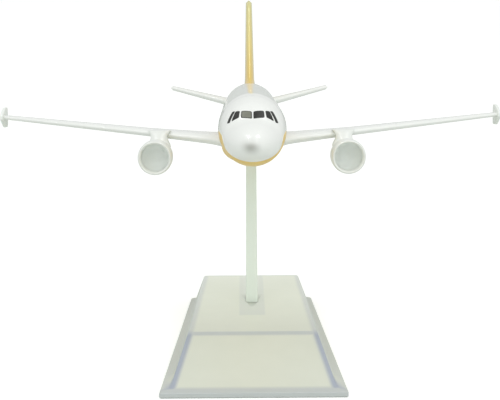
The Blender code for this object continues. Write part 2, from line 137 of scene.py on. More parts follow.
# %% Colours and a node helper
def linear(hex_colour):
    """An sRGB hex colour as the linear light values that shaders work in, with alpha 1."""
    channels = np.array([int(hex_colour[i:i + 2], 16) for i in (0, 2, 4)]) / 255
    low, high = channels / 12.92, ((channels + 0.055) / 1.055) ** 2.4
    return (*np.where(channels <= 0.04045, low, high), 1.0)


def add_node(material, kind, settings=(), inputs=(), links=()):
    """Adds a node: settings are its properties, inputs its socket values, links its sockets' sources."""
    node = material.node_tree.nodes.new(kind)
    for name, value in dict(settings).items():
        setattr(node, name, value)
    for name, value in dict(inputs).items():
        node.inputs[name].default_value = value
    for name, source in dict(links).items():
        material.node_tree.links.new(source, node.inputs[name])
    return node


def new_material(name, **sockets):
    """A material with one Principled shader, whose uniform values are set on its own sockets."""
    material = bpy.data.materials.new(name)
    material.use_nodes = True
    shader = material.node_tree.nodes["Principled BSDF"]
    for socket, value in sockets.items():
        shader.inputs[socket.replace("_", " ")].default_value = value
    return material, shader


def wire(material, source, shader, socket):
    """Links an output to a socket of a shader that is already there."""
    material.node_tree.links.new(source, shader.inputs[socket])


# %% Floor, sky and lamps
def add_panel(name, place, target, size, watts):
    """A soft lamp: a rectangle of light at a place, faced at a target."""
    data = bpy.data.lights.new(name, "AREA")
    data.shape = "RECTANGLE"
    data.size, data.size_y = size
    data.energy = watts
    lamp = bpy.data.objects.new(name, data)
    lamp.location = place
    lamp.rotation_euler = (Vector(target) - Vector(place)).to_track_quat("-Z", "Y").to_euler()
    bpy.context.scene.collection.objects.link(lamp)
    return lamp


HORIZON_LIGHT, ZENITH_LIGHT = 0.74, 0.78
world = bpy.data.worlds.new("white_tent")
world.use_nodes = True
sky = world.node_tree.nodes["Background"]
sky.inputs["Color"].default_value = linear("FCFEFD")
direction = add_node(world, "ShaderNodeTexCoord").outputs["Generated"]
climb = add_node(world, "ShaderNodeSeparateXYZ", {}, {}, {"Vector": direction}).outputs["Z"]
sky_light = add_node(world, "ShaderNodeMapRange", {"interpolation_type": "SMOOTHSTEP"},
                     {"From Min": 0.0, "From Max": 0.7, "To Min": HORIZON_LIGHT, "To Max": ZENITH_LIGHT},
                     {"Value": climb})
seen = add_node(world, "ShaderNodeLightPath").outputs["Is Camera Ray"]
sky_strength = add_node(world, "ShaderNodeMath", {"operation": "MAXIMUM"}, {},
                        {0: sky_light.outputs["Result"], 1: seen})
world.node_tree.links.new(sky_strength.outputs["Value"], sky.inputs["Strength"])
bpy.context.scene.world = world
bpy.context.scene.view_settings.view_transform = "Standard"

MODEL_MIDDLE = (0.0, -0.03, 0.06)
add_panel("left_front_panel", (-0.30, -0.48, 0.60), MODEL_MIDDLE, (0.55, 0.55), 0.90)
add_panel("right_front_panel", (0.30, -0.48, 0.60), MODEL_MIDDLE, (0.55, 0.55), 1.00)
add_panel("right_panel", (0.60, -0.25, 0.20), MODEL_MIDDLE, (0.35, 0.35), 0.15)

# %% [markdown]
# A white floor throws so much light up that the underside of a white model vanishes. So there are two
# floors at the same place: a white one, which only the camera sees, and a greyer one, which only the light
# sees.

# %% Floors
def add_floor(name, material, height):
    """A wide level sheet at a height."""
    bpy.ops.mesh.primitive_plane_add(size=12.0, location=(0.0, 0.0, height))
    plane = bpy.context.object
    plane.name = name
    plane.data.materials.append(material)
    return plane


white_paper, _ = new_material("white_backdrop_paper", Roughness=0.9, Base_Color=linear("F7F8F6"),
                              Emission_Color=(1.0, 1.0, 1.0, 1.0), Emission_Strength=0.30)
grey_paper, _ = new_material("grey_bounce_paper", Roughness=0.9, Base_Color=linear("DCE0DC"))
seen_floor = add_floor("backdrop_floor", white_paper, 0.0)
bounce_floor = add_floor("bounce_floor", grey_paper, -0.0002)
seen_floor.visible_diffuse = seen_floor.visible_glossy = seen_floor.visible_shadow = False
bounce_floor.visible_camera = False

# %% Two cards
# Seen only in reflections: they give the glossy nose its two highlights and cast no light or shadow.
CARD_SIZE, CARD_PLACE = 0.13, (0.20, 0.10, 0.62)
card_light, _ = new_material("lit_reflector_card", Base_Color=(0.0, 0.0, 0.0, 1.0),
                             Emission_Color=(1.0, 1.0, 1.0, 1.0), Emission_Strength=8.0)
for side, word in ((-1, "left"), (1, "right")):
    bpy.ops.mesh.primitive_plane_add(size=CARD_SIZE, location=(side * CARD_PLACE[0], *CARD_PLACE[1:]))
    card = bpy.context.object
    card.name = f"{word}_reflector_card"
    card.data.materials.append(card_light)
    card.rotation_euler = (Vector(MODEL_MIDDLE) - card.location).to_track_quat("-Z", "Y").to_euler()
    card.visible_camera = card.visible_diffuse = card.visible_shadow = card.visible_transmission = False

# %% [markdown]
# ## Two helpers that make every surface
#
# Nearly every piece is a skin over a row of outlines. The outlines are computed as one array, a sheet of
# points with two parameters: which outline, and how far round it. One function turns such a sheet into a
# closed mesh. A second one draws a smooth curve through a few chosen values, so that an outline can change
# along the piece without waves between the values.

# %% Smooth curve and sheet of points to mesh
def through(x, places, values):
    """A monotone cubic curve: between two places it is a cubic whose end slopes are the harmonic means of
    the straight slopes on either side, and level where those change sign. So it never overshoots the
    values."""
    x, places, values = (np.asarray(a, float) for a in (x, places, values))
    step = np.diff(places)
    slope = np.diff(values) / step
    before, after = slope[:-1], slope[1:]
    same = before * after > 0
    safe_before, safe_after = np.where(same, before, 1.0), np.where(same, after, 1.0)
    w1, w2 = 2 * step[1:] + step[:-1], step[1:] + 2 * step[:-1]
    inner = np.where(same, (w1 + w2) / (w1 / safe_before + w2 / safe_after), 0.0)
    ends = np.concatenate([slope[:1], inner, slope[-1:]])
    i = np.clip(np.searchsorted(places, x, side="right") - 1, 0, len(step) - 1)
    t = (x - places[i]) / step[i]
    start = values[i] * (1 + 2 * t) * (1 - t) ** 2 + ends[i] * step[i] * t * (1 - t) ** 2
    stop = values[i + 1] * t * t * (3 - 2 * t) + ends[i + 1] * step[i] * t * t * (t - 1)
    return start + stop


def sheet_faces(rows, columns, around, offset=0):
    """Corner numbers of the quads between neighbouring points of a sheet, closed round if around is
    set."""
    index = np.arange(rows * columns).reshape(rows, columns) + offset
    right = np.roll(index, -1, axis=1) if around else index[:, 1:]
    left = index if around else index[:, :-1]
    quads = np.stack([left[:-1], right[:-1], right[1:], left[1:]], axis=-1)
    return quads.reshape(-1, 4)


def build_mesh(name, points, faces, material, sharp=35, attributes=()):
    """A mesh from an array of points and a list of face arrays. Doubles are merged, so poles and seams
    close, and faces are turned outwards. Attributes are (name, value at each point)."""
    mesh = bpy.data.meshes.new(name)
    all_faces = [face for group in faces for face in np.asarray(group).tolist()]
    mesh.from_pydata(points.reshape(-1, 3).tolist(), [], all_faces)
    for label, values in dict(attributes).items():
        layer = mesh.attributes.new(label, "FLOAT", "POINT")
        layer.data.foreach_set("value", np.asarray(values, np.float32).ravel())
    bm = bmesh.new()
    bm.from_mesh(mesh)
    bmesh.ops.remove_doubles(bm, verts=bm.verts, dist=0.0005 * MM)
    bmesh.ops.dissolve_degenerate(bm, edges=bm.edges, dist=0.0001 * MM)
    bmesh.ops.recalc_face_normals(bm, faces=bm.faces)
    bm.to_mesh(mesh)
    bm.free()
    mesh.shade_smooth()
    mesh.set_sharp_from_angle(angle=math.radians(sharp))
    mesh.materials.append(material)
    obj = bpy.data.objects.new(name, mesh)
    bpy.context.scene.collection.objects.link(obj)
    return obj


def loft(name, outlines, material, caps=(True, True), sharp=35, attributes=()):
    """A closed skin over a sheet of outlines, with a flat face over each end that caps asks for."""
    rows, columns = outlines.shape[:2]
    faces = [sheet_faces(rows, columns, True)]
    if caps[0]:
        faces.append(np.arange(columns)[None, ::-1])
    if caps[1]:
        faces.append((np.arange(columns) + (rows - 1) * columns)[None, :])
    return build_mesh(name, outlines, faces, material, sharp, attributes)


def install(piece, body, slot, *nodes):
    """The piece rides on a body and stands for the named solids. The slot is not used."""
    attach(piece, body)
    if nodes:
        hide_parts(*nodes)
    print(f"{piece.name}: {len(piece.data.polygons)} faces, stands for {', '.join(nodes) or 'no solid'}")
    return piece


def carve(piece, tool, operation="DIFFERENCE"):
    """Cuts a tool out of a piece, or joins it on, at once, and removes the tool."""
    modifier = piece.modifiers.new(operation.lower(), "BOOLEAN")
    modifier.operation = operation
    modifier.solver = "EXACT"
    modifier.object = tool
    graph = bpy.context.evaluated_depsgraph_get()
    made = bpy.data.meshes.new_from_object(piece.evaluated_get(graph))
    piece.modifiers.clear()
    old = piece.data
    piece.data = made
    made.name = old.name
    bpy.data.meshes.remove(old)
    bpy.data.objects.remove(tool)
    return piece


# %% [markdown]
# ## Paint and plastic
#
# The casting is zinc alloy under a gloss enamel: nearly white, smooth, with a faint orange-peel wave about
# a millimetre long, and a clear glossy top layer. Its colour is mixed with amber where an attribute, the
# distance to the edge of the printed sweep, says so. The distance is stored rather than the colour, so
# that the edge stays crisp however coarse the mesh is.

# %% White and amber enamel
ENAMEL_WHITE = "F5F6F3"
ENAMEL_AMBER = "F0C95C"
# The grey of the painted shade at the tip of the nose.
TIP_SHADE_GREY = "A3A39B"
WAVE_LENGTH = 1.1  # orange peel, mm
EDGE_BLUR = 0.12  # of a printed edge, mm
MIX_COLOURS = {"data_type": "RGBA"}


def add_peel(material, shader, length=WAVE_LENGTH, height=0.004):
    """Orange peel: soft noise in object coordinates, its waves a given length in mm, as a shallow bump."""
    coordinates = add_node(material, "ShaderNodeTexCoord").outputs["Object"]
    wave = add_node(material, "ShaderNodeTexNoise", {"noise_dimensions": "3D"},
                    {"Scale": 1 / (length * MM), "Detail": 1.5, "Roughness": 0.4}, {"Vector": coordinates})
    bump = add_node(material, "ShaderNodeBump", {}, {"Strength": 0.6, "Distance": height * MM},
                    {"Height": wave.outputs["Fac"]})
    wire(material, bump.outputs["Normal"], shader, "Normal")
    return coordinates


def add_mottle(material, coordinates, base, tone, length=9.0):
    """A slow drift of colour between two tones, as film thickness gives, its patches a length in mm."""
    drift = add_node(material, "ShaderNodeTexNoise", {}, {"Scale": 1 / (length * MM), "Detail": 2.0},
                     {"Vector": coordinates})
    return add_node(material, "ShaderNodeMix", MIX_COLOURS, {"A": linear(base), "B": linear(tone)},
                    {"Factor": drift.outputs["Fac"]}).outputs["Result"]


def make_enamel(name, sweep):
    """Gloss enamel, white. On the fuselage it turns amber where the attribute sweep_mm is above zero, and
    grey at the tip of the nose, where a painted dark spot stands for the shade and the camera's dark
    reflection."""
    material, shader = new_material(name, Roughness=0.32, IOR=1.5, Coat_Weight=0.7, Coat_Roughness=0.06,
                                    Coat_IOR=1.5)
    coordinates = add_peel(material, shader)
    colour = add_mottle(material, coordinates, ENAMEL_WHITE, "F2F4F0")
    if sweep:
        distance = add_node(material, "ShaderNodeAttribute", {"attribute_name": "sweep_mm"}).outputs["Fac"]
        edge = add_node(material, "ShaderNodeMapRange", {"interpolation_type": "SMOOTHSTEP"},
                        {"From Min": -EDGE_BLUR, "From Max": EDGE_BLUR}, {"Value": distance})
        share = edge.outputs["Result"]
        colour = add_node(material, "ShaderNodeMix", MIX_COLOURS, {"B": linear(ENAMEL_AMBER)},
                          {"Factor": share, "A": colour}).outputs["Result"]
        for socket, bare, printed_over in (("Coat Weight", 0.7, 0.1), ("Specular IOR Level", 0.5, 0.2)):
            gloss = add_node(material, "ShaderNodeMapRange", {}, {"To Min": bare, "To Max": printed_over},
                             {"Value": share})
            wire(material, gloss.outputs["Result"], shader, socket)
        # Painted shade: grey mixed in at the tip of the nose, for its shade and the camera's dark reflection.
        tip_shade = add_node(material, "ShaderNodeAttribute", {"attribute_name": "tip_shade"}).outputs["Fac"]
        colour = add_node(material, "ShaderNodeMix", MIX_COLOURS, {"B": linear(TIP_SHADE_GREY)},
                          {"Factor": tip_shade, "A": colour}).outputs["Result"]
    wire(material, colour, shader, "Base Color")
    return material


# The first is plain white, for wings and tailplanes. The second also holds the sweep and the painted shade at
# the tip of the nose.
white_enamel = make_enamel("gloss_white_enamel_on_zinc", False)
fuselage_enamel = make_enamel("gloss_enamel_with_amber_sweep", True)

# %% Plastics, prints and steel
def make_plastic(name, colour, tone, roughness):
    """Injection-moulded ABS: satin, with a fine grain in its gloss from the mould's polish."""
    material, shader = new_material(name, Roughness=roughness, IOR=1.53, Coat_Weight=0.15,
                                    Coat_Roughness=0.15)
    coordinates = add_peel(material, shader, length=0.6, height=0.003)
    wire(material, add_mottle(material, coordinates, colour, tone, length=4.0), shader, "Base Color")
    return material


# White with a soft sheen for the cowls, duller inside them, dark at the exhausts, near white at the tips.
cowl_plastic = make_plastic("moulded_white_abs", "F1F3EF", "EDF0EB", 0.28)
fan_plastic = make_plastic("moulded_grey_abs", "F6F9F6", "F1F5F1", 0.45)
cone_plastic = make_plastic("moulded_dark_grey_abs", "9EA2A0", "949896", 0.40)
fence_plastic = make_plastic("moulded_pale_grey_abs", "F6F9F5", "F1F5F0", 0.30)

# %% [markdown]
# ## Fuselage
#
# The fuselage of such a model is two thin castings, an upper and a lower half, clamped together by screws.
# Each section is an ellipse of the same width above and below its middle, and width, top and bottom change
# along the length. Box modelling could reach this with a subdivision surface, but the nose needs an exact
# taper. So the skin is computed: one parameter runs along the length, the other round the section.

# %% The fuselage's form
STATIONS = np.array((  # from the nose, half width, top, bottom
    (0.00, 0.00, -0.60, -0.60), (0.20, 0.50, -0.17, -1.00), (0.70, 0.93, 0.17, -1.31),
    (1.50, 1.32, 0.50, -1.60), (2.30, 1.58, 0.78, -1.80), (2.90, 1.70, 1.19, -1.89),
    (3.80, 1.84, 1.66, -1.99), (5.00, 1.94, 1.96, -2.05), (BARREL_FRONT, 1.975, CROWN, -2.07),
    (24.5, 1.975, CROWN, -2.07), (27.0, 1.92, CROWN, -1.83), (30.0, 1.62, 2.03, -1.15),
    (33.0, 1.13, 1.92, -0.33), (35.6, 0.66, 1.68, 0.36), (FULL_LENGTH, 0.28, 1.30, 0.74)))


def section(x):
    """Half width, middle and half height at x. Each runs through the stations as a smooth curve against
    the square root of the distance from the nose, so the nose comes out round and not pointed."""
    half, top, bottom = (through(np.sqrt(x), np.sqrt(STATIONS[:, 0]), STATIONS[:, k]) for k in (1, 2, 3))
    return half, (top + bottom) / 2, (top - bottom) / 2


def on_skin(x, angle, rise=0.0):
    """A point of the skin at x, at an angle round from the right side upwards: half width times cosine to
    the side, middle plus half height times sine up. It is raised along the normal, the cross product of
    the steps to two near neighbours, by rise in mm."""
    x, angle = np.broadcast_arrays(np.asarray(x, float), np.asarray(angle, float))

    def point(x, angle):
        """The skin's own point, before it is raised."""
        half, middle, reach = section(x)
        return np.stack([half * np.cos(angle), x, middle + reach * np.sin(angle)], axis=-1)

    here, small = point(x, angle), 1e-4
    normal = np.cross(point(x, angle + small) - here, point(x + small, angle) - here)
    normal /= np.maximum(np.linalg.norm(normal, axis=-1, keepdims=True), 1e-12)
    return here + mm(np.asarray(rise))[..., None] * normal


print("half width, middle, half height at 2 m:", [round(float(v), 3) for v in section(2.0)])

# %% [markdown]
# ### The amber sweep
#
# A sweep of amber is printed under the nose and along the belly. Its edge climbs from the chin to the side
# of the nose, runs aft low along the side and dives under the tail. The print needs no geometry: the
# signed distance to the edge is stored at each point, and the enamel turns amber where it is above zero.

# %% Distance to the sweep's edge
SWEEP_EDGE = np.array((  # from the nose, height of the edge
    (0.75, -1.90), (1.15, -1.54), (1.55, -1.34), (1.95, -1.10), (2.3, -0.83), (2.7, -0.45), (3.2, -0.16),
    (4.3, -0.02), (11.0, -0.10), (18.0, -0.30), (23.0, -0.80), (27.0, -1.35), (30.5, -1.75)))


def sweep_distance(points):
    """How far a level point lies under the sweep's edge, in mm of the model: the edge's height less the
    point's, shortened by the edge's slope as the distance to a sloping line is."""
    x = np.clip(points[..., 1], SWEEP_EDGE[0, 0], SWEEP_EDGE[-1, 0] - 1e-3)
    edge = through(x, SWEEP_EDGE[:, 0], SWEEP_EDGE[:, 1])
    slope = (through(x + 1e-3, SWEEP_EDGE[:, 0], SWEEP_EDGE[:, 1]) - edge) / 1e-3
    return (edge - points[..., 2]) / np.sqrt(1 + slope ** 2) * SCALE / MM


# %% Painted shade at the tip of the nose
TIP_SHADE_PLACE = (-0.14, 0.0, -0.62)
TIP_SHADE_REACH = (2.0, 1.6, 1.35)  # across, aft and up, mm


def tip_shade_share(points):
    """How much painted shade a level point gets, standing for the shade and the camera's dark reflection at
    the tip of the nose: a bell curve of its distance from there, each direction measured against its own
    reach."""
    away = np.linalg.norm((points - TIP_SHADE_PLACE) * SCALE / MM / TIP_SHADE_REACH, axis=-1)
    return 0.8 * np.exp(-away ** 2)


# %% Two castings
ROWS, ARC = 260, 97
PARTING_GAP = 0.012  # half of the hairline between the castings, mm


def casting(name, first, last, lift):
    """Half of the skin, from the first angle to the last, with the parting face across it. The rows are
    spaced evenly in the square root of the distance from the nose, so they crowd where the nose is
    round."""
    x = np.linspace(0, math.sqrt(FULL_LENGTH), ROWS)[:, None] ** 2
    points = on_skin(np.minimum(x, FULL_LENGTH - 1e-6), np.linspace(first, last, ARC)[None, :])
    middle = section(np.minimum(x, FULL_LENGTH))[1]
    above = points[..., 2] - middle
    gap = mm(PARTING_GAP) * np.clip((x - 5.0) / 3.0, 0, 1)
    points[..., 2] = middle + np.where(abs(above) < gap, gap * lift, above)
    return loft(name, seat(points), fuselage_enamel, attributes=[("sweep_mm", sweep_distance(points)),
                                                                ("tip_shade", tip_shade_share(points))])


upper_casting = casting("upper_fuselage_casting", 0, math.pi, 1)
lower_casting = casting("lower_fuselage_casting", math.pi, TURN, -1)
print("castings:", len(upper_casting.data.polygons), len(lower_casting.data.polygons), "faces")

# %% [markdown]
# ### Turned shapes
#
# Cowls, cones, fan discs and screw heads are round, so each is a profile turned about an axis. A smooth
# profile is a curve through a few points. A sharp corner is made by starting a new curve there.

# %% Profiles and turning
def smooth_line(points, steps=10):
    """A smooth curve through points: each coordinate follows the distance walked from point to point."""
    points = np.asarray(points, float)
    walked = np.concatenate([[0], np.cumsum(np.linalg.norm(np.diff(points, axis=0), axis=1))])
    along = np.linspace(0, walked[-1], steps * (len(points) - 1) + 1)
    along[-1] = walked[-1] - 1e-9
    return np.stack([through(along, walked, points[:, k]) for k in range(points.shape[1])], axis=-1)


def profile(*parts):
    """Joins lines of (radius, distance) points end to end."""
    return np.concatenate([np.asarray(part, float) for part in parts])


def turned(name, line, centre, material, upright=False, steps=96, sharp=35):
    """A profile of (radius, distance), in mm, carried round an axis through centre: radius times cosine to
    the side and times sine up, distance aft. Upright, the sine runs aft and the distance up."""
    angle = np.linspace(0, TURN, steps, endpoint=False)[None, :]
    radius, distance = mm(line[:, :1]), mm(line[:, 1:])
    side, turn_up, along = radius * np.cos(angle), radius * np.sin(angle), distance + 0 * angle
    rest = (turn_up, along) if upright else (along, turn_up)
    return loft(name, seat(np.stack([side, *rest], axis=-1) + centre), material, (False, False), sharp)


OUTLET_LINE = profile([(0.0, 1.0), (0.85, 1.0), (0.80, -2.2), (0.0, -2.2)])
TAIL_MIDDLE = (0.0, FULL_LENGTH, 1.02)
for half in (upper_casting, lower_casting):
    carve(half, turned("outlet_tool", OUTLET_LINE, TAIL_MIDDLE, fuselage_enamel, steps=32))

# %% [markdown]
# ### Belly fairing
#
# Under the wing, a broad fairing bulges out of the belly. It is its own casting, fuller at the corners
# than an ellipse, so its section is a superellipse. Its ends run out into the belly.

# %% Belly fairing
FAIRING = np.array((  # from the nose, half width, bottom
    (9.7, 1.05, -1.98), (10.5, 1.45, -2.22), (11.5, 1.80, -2.46), (13.0, 1.90, -2.60),
    (18.9, 1.90, -2.60), (20.4, 1.80, -2.44), (21.5, 1.45, -2.20), (22.3, 1.05, -1.98)))
FAIRING_TOP = -0.20
FAIRING_CORNER = 2.2


def fairing_points(x, angle):
    """Half width and half height, each times the signed cosine or sine to the power 2 / 2.2."""
    half, bottom = (through(x, FAIRING[:, 0], FAIRING[:, k]) for k in (1, 2))
    bend = 2 / FAIRING_CORNER
    across = np.sign(np.cos(angle)) * abs(np.cos(angle)) ** bend
    up = np.sign(np.sin(angle)) * abs(np.sin(angle)) ** bend
    middle, reach = (FAIRING_TOP + bottom) / 2, (FAIRING_TOP - bottom) / 2
    return np.stack([half * across, x + 0 * angle, middle + reach * up], axis=-1)


fairing_grid = fairing_points(np.linspace(FAIRING[0, 0], FAIRING[-1, 0] - 1e-6, 120)[:, None],
                              np.linspace(0, TURN, 144, endpoint=False)[None, :])
fairing = loft("belly_fairing_casting", seat(fairing_grid), fuselage_enamel,
               attributes=[("sweep_mm", sweep_distance(fairing_grid))])

# %% [markdown]
# ### Screws and the socket for the post
#
# Two steel screws sit in round counterbores in the belly. Between them a slot takes the post's tongue.

# %% Counterbores, slot and screws
SCREW_STATIONS = {"front": 12.5, "rear": 20.1}
SCREW_SEAT = -10.0  # under the axis, mm
COUNTERBORE = profile([(0.0, -14.0), (1.4, -14.0), (1.4, SCREW_SEAT + 0.3), (0.0, SCREW_SEAT + 0.3)])
POST_STATION = 18.2
SLOT = (1.3, 1.8)  # half sizes across and along, mm

zinc_steel, steel_shader = new_material("zinc_plated_steel", Metallic=1.0, Roughness=0.34,
                                        Base_Color=linear("B9BCBF"))
add_peel(zinc_steel, steel_shader, length=0.3, height=0.006)  # the plating's fine grain


def block_tool(name, centre, half, low, high, material):
    """A cutter of rectangular section: its outline at the low height, then at the high one. Sizes in
    mm."""
    corners = np.array(((-1, -1), (1, -1), (1, 1), (-1, 1))) * half
    rings = [np.column_stack([corners, np.full(4, z)]) for z in (low, high)]
    return loft(name, seat(mm(np.array(rings)) + centre), material)


def cross_recess_head(line, centre, name):
    """A turned screw with a cross cut into its head by two narrow blocks."""
    screw = turned(name, line, centre, zinc_steel, upright=True, steps=48)
    for half in ((0.75, 0.16), (0.16, 0.75)):
        carve(screw, block_tool("cross_tool", centre, half, SCREW_SEAT - 1.0, SCREW_SEAT - 0.32, zinc_steel))
    return screw


screw_line = profile(
    [(0.0, SCREW_SEAT + 6.0), (0.45, SCREW_SEAT + 5.9), (0.6, SCREW_SEAT + 5.4), (0.6, SCREW_SEAT),
     (1.1, SCREW_SEAT)],
    smooth_line([(1.1, SCREW_SEAT - 0.25), (0.98, SCREW_SEAT - 0.5), (0.6, SCREW_SEAT - 0.66),
                 (0.0, SCREW_SEAT - 0.70)], 5))
for word, station in SCREW_STATIONS.items():
    place = (0.0, station, 0.0)
    carve(fairing, turned("counterbore_tool", COUNTERBORE, place, fuselage_enamel, upright=True, steps=48))
    screw = cross_recess_head(screw_line, place, f"{word}_screw")
    install(screw, "airliner", "screw_steel", f"{word}_belly_screw")
for piece in (fairing, lower_casting):
    carve(piece, block_tool("slot_tool", (0.0, POST_STATION, 0.0), SLOT, -14.0, -1.0, fuselage_enamel))
install(upper_casting, "airliner", "white_enamel", "fuselage_upper")
install(lower_casting, "airliner", "white_enamel", "fuselage_lower")
install(fairing, "airliner", "amber_enamel", "belly_fairing")

# %% [markdown]
# ## Wing, tailplane and fin
#
# All five flying surfaces are the same kind of shape, so one function makes them. One parameter runs out
# from the root, the other round the section, from the trailing edge over the top to the nose of the
# section and back below. Near the root the section thickens into a fillet. The lines of flaps, ailerons
# and rudder are shallow grooves pressed into the same surface. The grid is finer beside each, or the
# groove would have no points to bend at.

# %% One function for every flying surface
def near(base, places, width):
    """The base values with five more close beside each place, sorted, inside the base's range."""
    extra = [place + width * np.linspace(-1, 1, 5) for place in places]
    merged = np.unique(np.concatenate([base, *extra]).round(7))
    return merged[(merged >= base[0]) & (merged <= base[-1])]


def section_height(share):
    """Half thickness of the section, as a share of its most: it rises from the nose as a square root does,
    peaks at a third of the chord and thins to a blunt, rounded trailing edge."""
    line = through(np.sqrt(share), np.sqrt([0.0, 0.025, 0.12, 0.35, 0.65, 1.0]),
                   [0.0, 0.42, 0.86, 1.0, 0.72, 0.26])
    return line * np.sqrt(np.clip(1 - (np.clip(share - 0.985, 0, 1) / 0.015) ** 2, 0, 1))


def ramp(value, low, high):
    """0 below low, 1 above high, and a smooth step between."""
    t = np.clip((value - low) / (high - low), 0, 1)
    return t * t * (3 - 2 * t)


def pressed(distance, width=0.14):
    """Depth share of a groove at a distance in mm from its line: a bell curve."""
    return np.exp(-(distance / width) ** 2)


def flying_surface(name, sections, spans, hinges, splits, place, material, fillet, nose_back=None,
                   groove=0.09, round_tip=0.0):
    """Sections are (out, lead, chord, height, thickness in mm). Hinges are (share of chord, from, to)
    lines along the span, splits (out, from share, to share) lines along the chord. place turns out, aft,
    height and offset into level coordinates. Fillet is (extra thickness mm, extra chord, where, reach) at
    the root."""
    table = np.array(sections)
    out = near(np.unique(np.concatenate([np.linspace(*spans, 44), table[1:-1, 0]])),
               [split[0] for split in splits], 0.06)[:, None]
    share = near((1 - np.cos(np.linspace(0, math.pi, 46))) / 2, [hinge[0] for hinge in hinges], 0.014)
    over = np.concatenate([share[::-1], share[1:-1]])[None, :]
    side = np.concatenate([np.ones(len(share)), -np.ones(len(share) - 2)])[None, :]
    lead, chord, height, thickness = (np.interp(out, table[:, 0], table[:, k]) for k in (1, 2, 3, 4))
    extra, longer, where, reach = fillet
    swell = np.exp(-np.clip(out - where, 0, None) / reach)
    thickness = thickness + extra * swell
    lead = lead - longer * swell
    chord = chord + longer * swell * 1.15
    if nose_back:
        cut_back = nose_back(out)
        lead, chord = lead + cut_back, chord - cut_back
    if round_tip:
        t = np.clip((out - (spans[1] - round_tip)) / round_tip, 0, 0.985)
        thickness = thickness * np.sqrt(1 - t ** 2)
    depth = 0.0 * over
    for place_share, start, stop in hinges:
        window = ramp(out, start - 0.05, start + 0.05) * (1 - ramp(out, stop - 0.05, stop + 0.05))
        depth = np.maximum(depth, window * pressed((over - place_share) * chord * SCALE / MM))
    for place_out, start, stop in splits:
        window = ramp(over, start - 0.01, start) * (1 - ramp(over, stop, stop + 0.01))
        depth = np.maximum(depth, window * pressed((out - place_out) * SCALE / MM))
    form = section_height(over)
    offset = side * (mm(thickness) / 2 * form - mm(groove) * depth * (form > 0.2))
    points = place(out + 0 * over, lead + over * chord, height + 0 * over, offset)
    return loft(name, seat(points), material, sharp=50)


print("section height at a third of the chord:", round(float(section_height(np.array(0.35))), 3))

# %% Wings
WING_SECTIONS = ((1.20, 11.45, 6.50, -1.15, 3.4), (6.40, 14.15, 3.85, -0.76, 2.3),
                 (16.90, 19.70, 1.55, 0.04, 1.3))
WING_HINGES = ((0.12, 2.9, 16.4), (0.74, 2.3, 16.2))
WING_SPLITS = ((6.3, 0.0, 0.12), (9.6, 0.0, 0.12), (13.0, 0.0, 0.12), (6.4, 0.74, 1.0), (12.7, 0.74, 1.0),
               (16.2, 0.74, 1.0))


def sideways(side):
    """Places a surface that reaches out to one side: offset is added to the height."""
    return lambda out, aft, height, offset: np.stack([side * out, aft, height + offset], axis=-1)


for side, word in ((-1, "left"), (1, "right")):
    wing = flying_surface(f"{word}_wing_casting", WING_SECTIONS, (1.20, 16.96), WING_HINGES, WING_SPLITS,
                          sideways(side), white_enamel, fillet=(0.5, 0.35, 1.95, 0.30))
    install(wing, "airliner", "white_enamel", f"{word}_wing")

# %% Tailplanes
TAILPLANE_SECTIONS = ((0.55, 30.95, 3.90, 0.25, 2.8), (6.22, 34.55, 1.45, 1.56, 1.5))
for side, word in ((-1, "left"), (1, "right")):
    tailplane = flying_surface(f"{word}_tailplane_casting", TAILPLANE_SECTIONS, (0.55, 6.25),
                               ((0.70, 1.6, 5.9),), ((5.9, 0.70, 1.0),), sideways(side), white_enamel,
                               fillet=(0.9, 0.20, 1.35, 0.20), round_tip=0.10)
    install(tailplane, "airliner", "white_enamel", f"{word}_tailplane")

# %% [markdown]
# ### The fin's paint
#
# The fin carries the belly's amber, sprayed so that it pales towards the top. The colour follows the
# height in object coordinates, and a little noise keeps the blend from looking like a ruled gradient.

# %% Fin enamel
FIN_FOOT_Z, FIN_TOP_Z = (float(seat((0.0, 33.0, z))[2]) for z in (2.4, 8.3))
fin_enamel, fin_shader = new_material("gloss_amber_enamel_sprayed_fade", Roughness=0.30, IOR=1.5,
                                      Coat_Weight=0.7, Coat_Roughness=0.06, Coat_IOR=1.5)
fin_coordinates = add_peel(fin_enamel, fin_shader)
fin_axes = add_node(fin_enamel, "ShaderNodeSeparateXYZ", {}, {}, {"Vector": fin_coordinates})
fin_height = add_node(fin_enamel, "ShaderNodeMapRange", {}, {"From Min": FIN_FOOT_Z, "From Max": FIN_TOP_Z},
                      {"Value": fin_axes.outputs["Z"]})
fin_drift = add_node(fin_enamel, "ShaderNodeTexNoise", {}, {"Scale": 1 / (3.0 * MM), "Detail": 2.0},
                     {"Vector": fin_coordinates})
fin_wander = add_node(fin_enamel, "ShaderNodeMath", {"operation": "MULTIPLY_ADD"}, {1: 0.08},
                      {0: fin_drift.outputs["Fac"], 2: fin_height.outputs["Result"]})
fin_ramp = add_node(fin_enamel, "ShaderNodeValToRGB", {}, {}, {"Fac": fin_wander.outputs["Value"]})
fin_ramp.color_ramp.elements[0].color = linear("E6C25A")
fin_ramp.color_ramp.elements[1].color = linear("DDD58E")
middle_stop = fin_ramp.color_ramp.elements.new(0.5)
middle_stop.color = linear("E7D27A")
wire(fin_enamel, fin_ramp.outputs["Color"], fin_shader, "Base Color")

# %% Fin
FIN_SECTIONS = ((1.10, 28.10, 7.00, 0.0, 3.2), (8.46, 34.75, 2.55, 0.0, 2.0))


def upwards(out, aft, height, offset):
    """Places the fin, which reaches up: offset goes to the side."""
    return np.stack([offset, aft, out + 0 * height], axis=-1)


def top_corner(height):
    """How far the leading edge is cut back near the top: the square of the way up the last 0.6 m."""
    return 0.45 * np.clip((height - 7.86) / 0.6, 0, 1) ** 2


fin = flying_surface("tail_fin_casting", FIN_SECTIONS, (1.10, 8.46), ((0.68, 2.6, 8.0),), ((8.0, 0.68, 1.0),),
                     upwards, fin_enamel, fillet=(0.3, 0.7, 2.05, 0.12), nose_back=top_corner, round_tip=0.12)
install(fin, "airliner", "amber_enamel", "tail_fin")

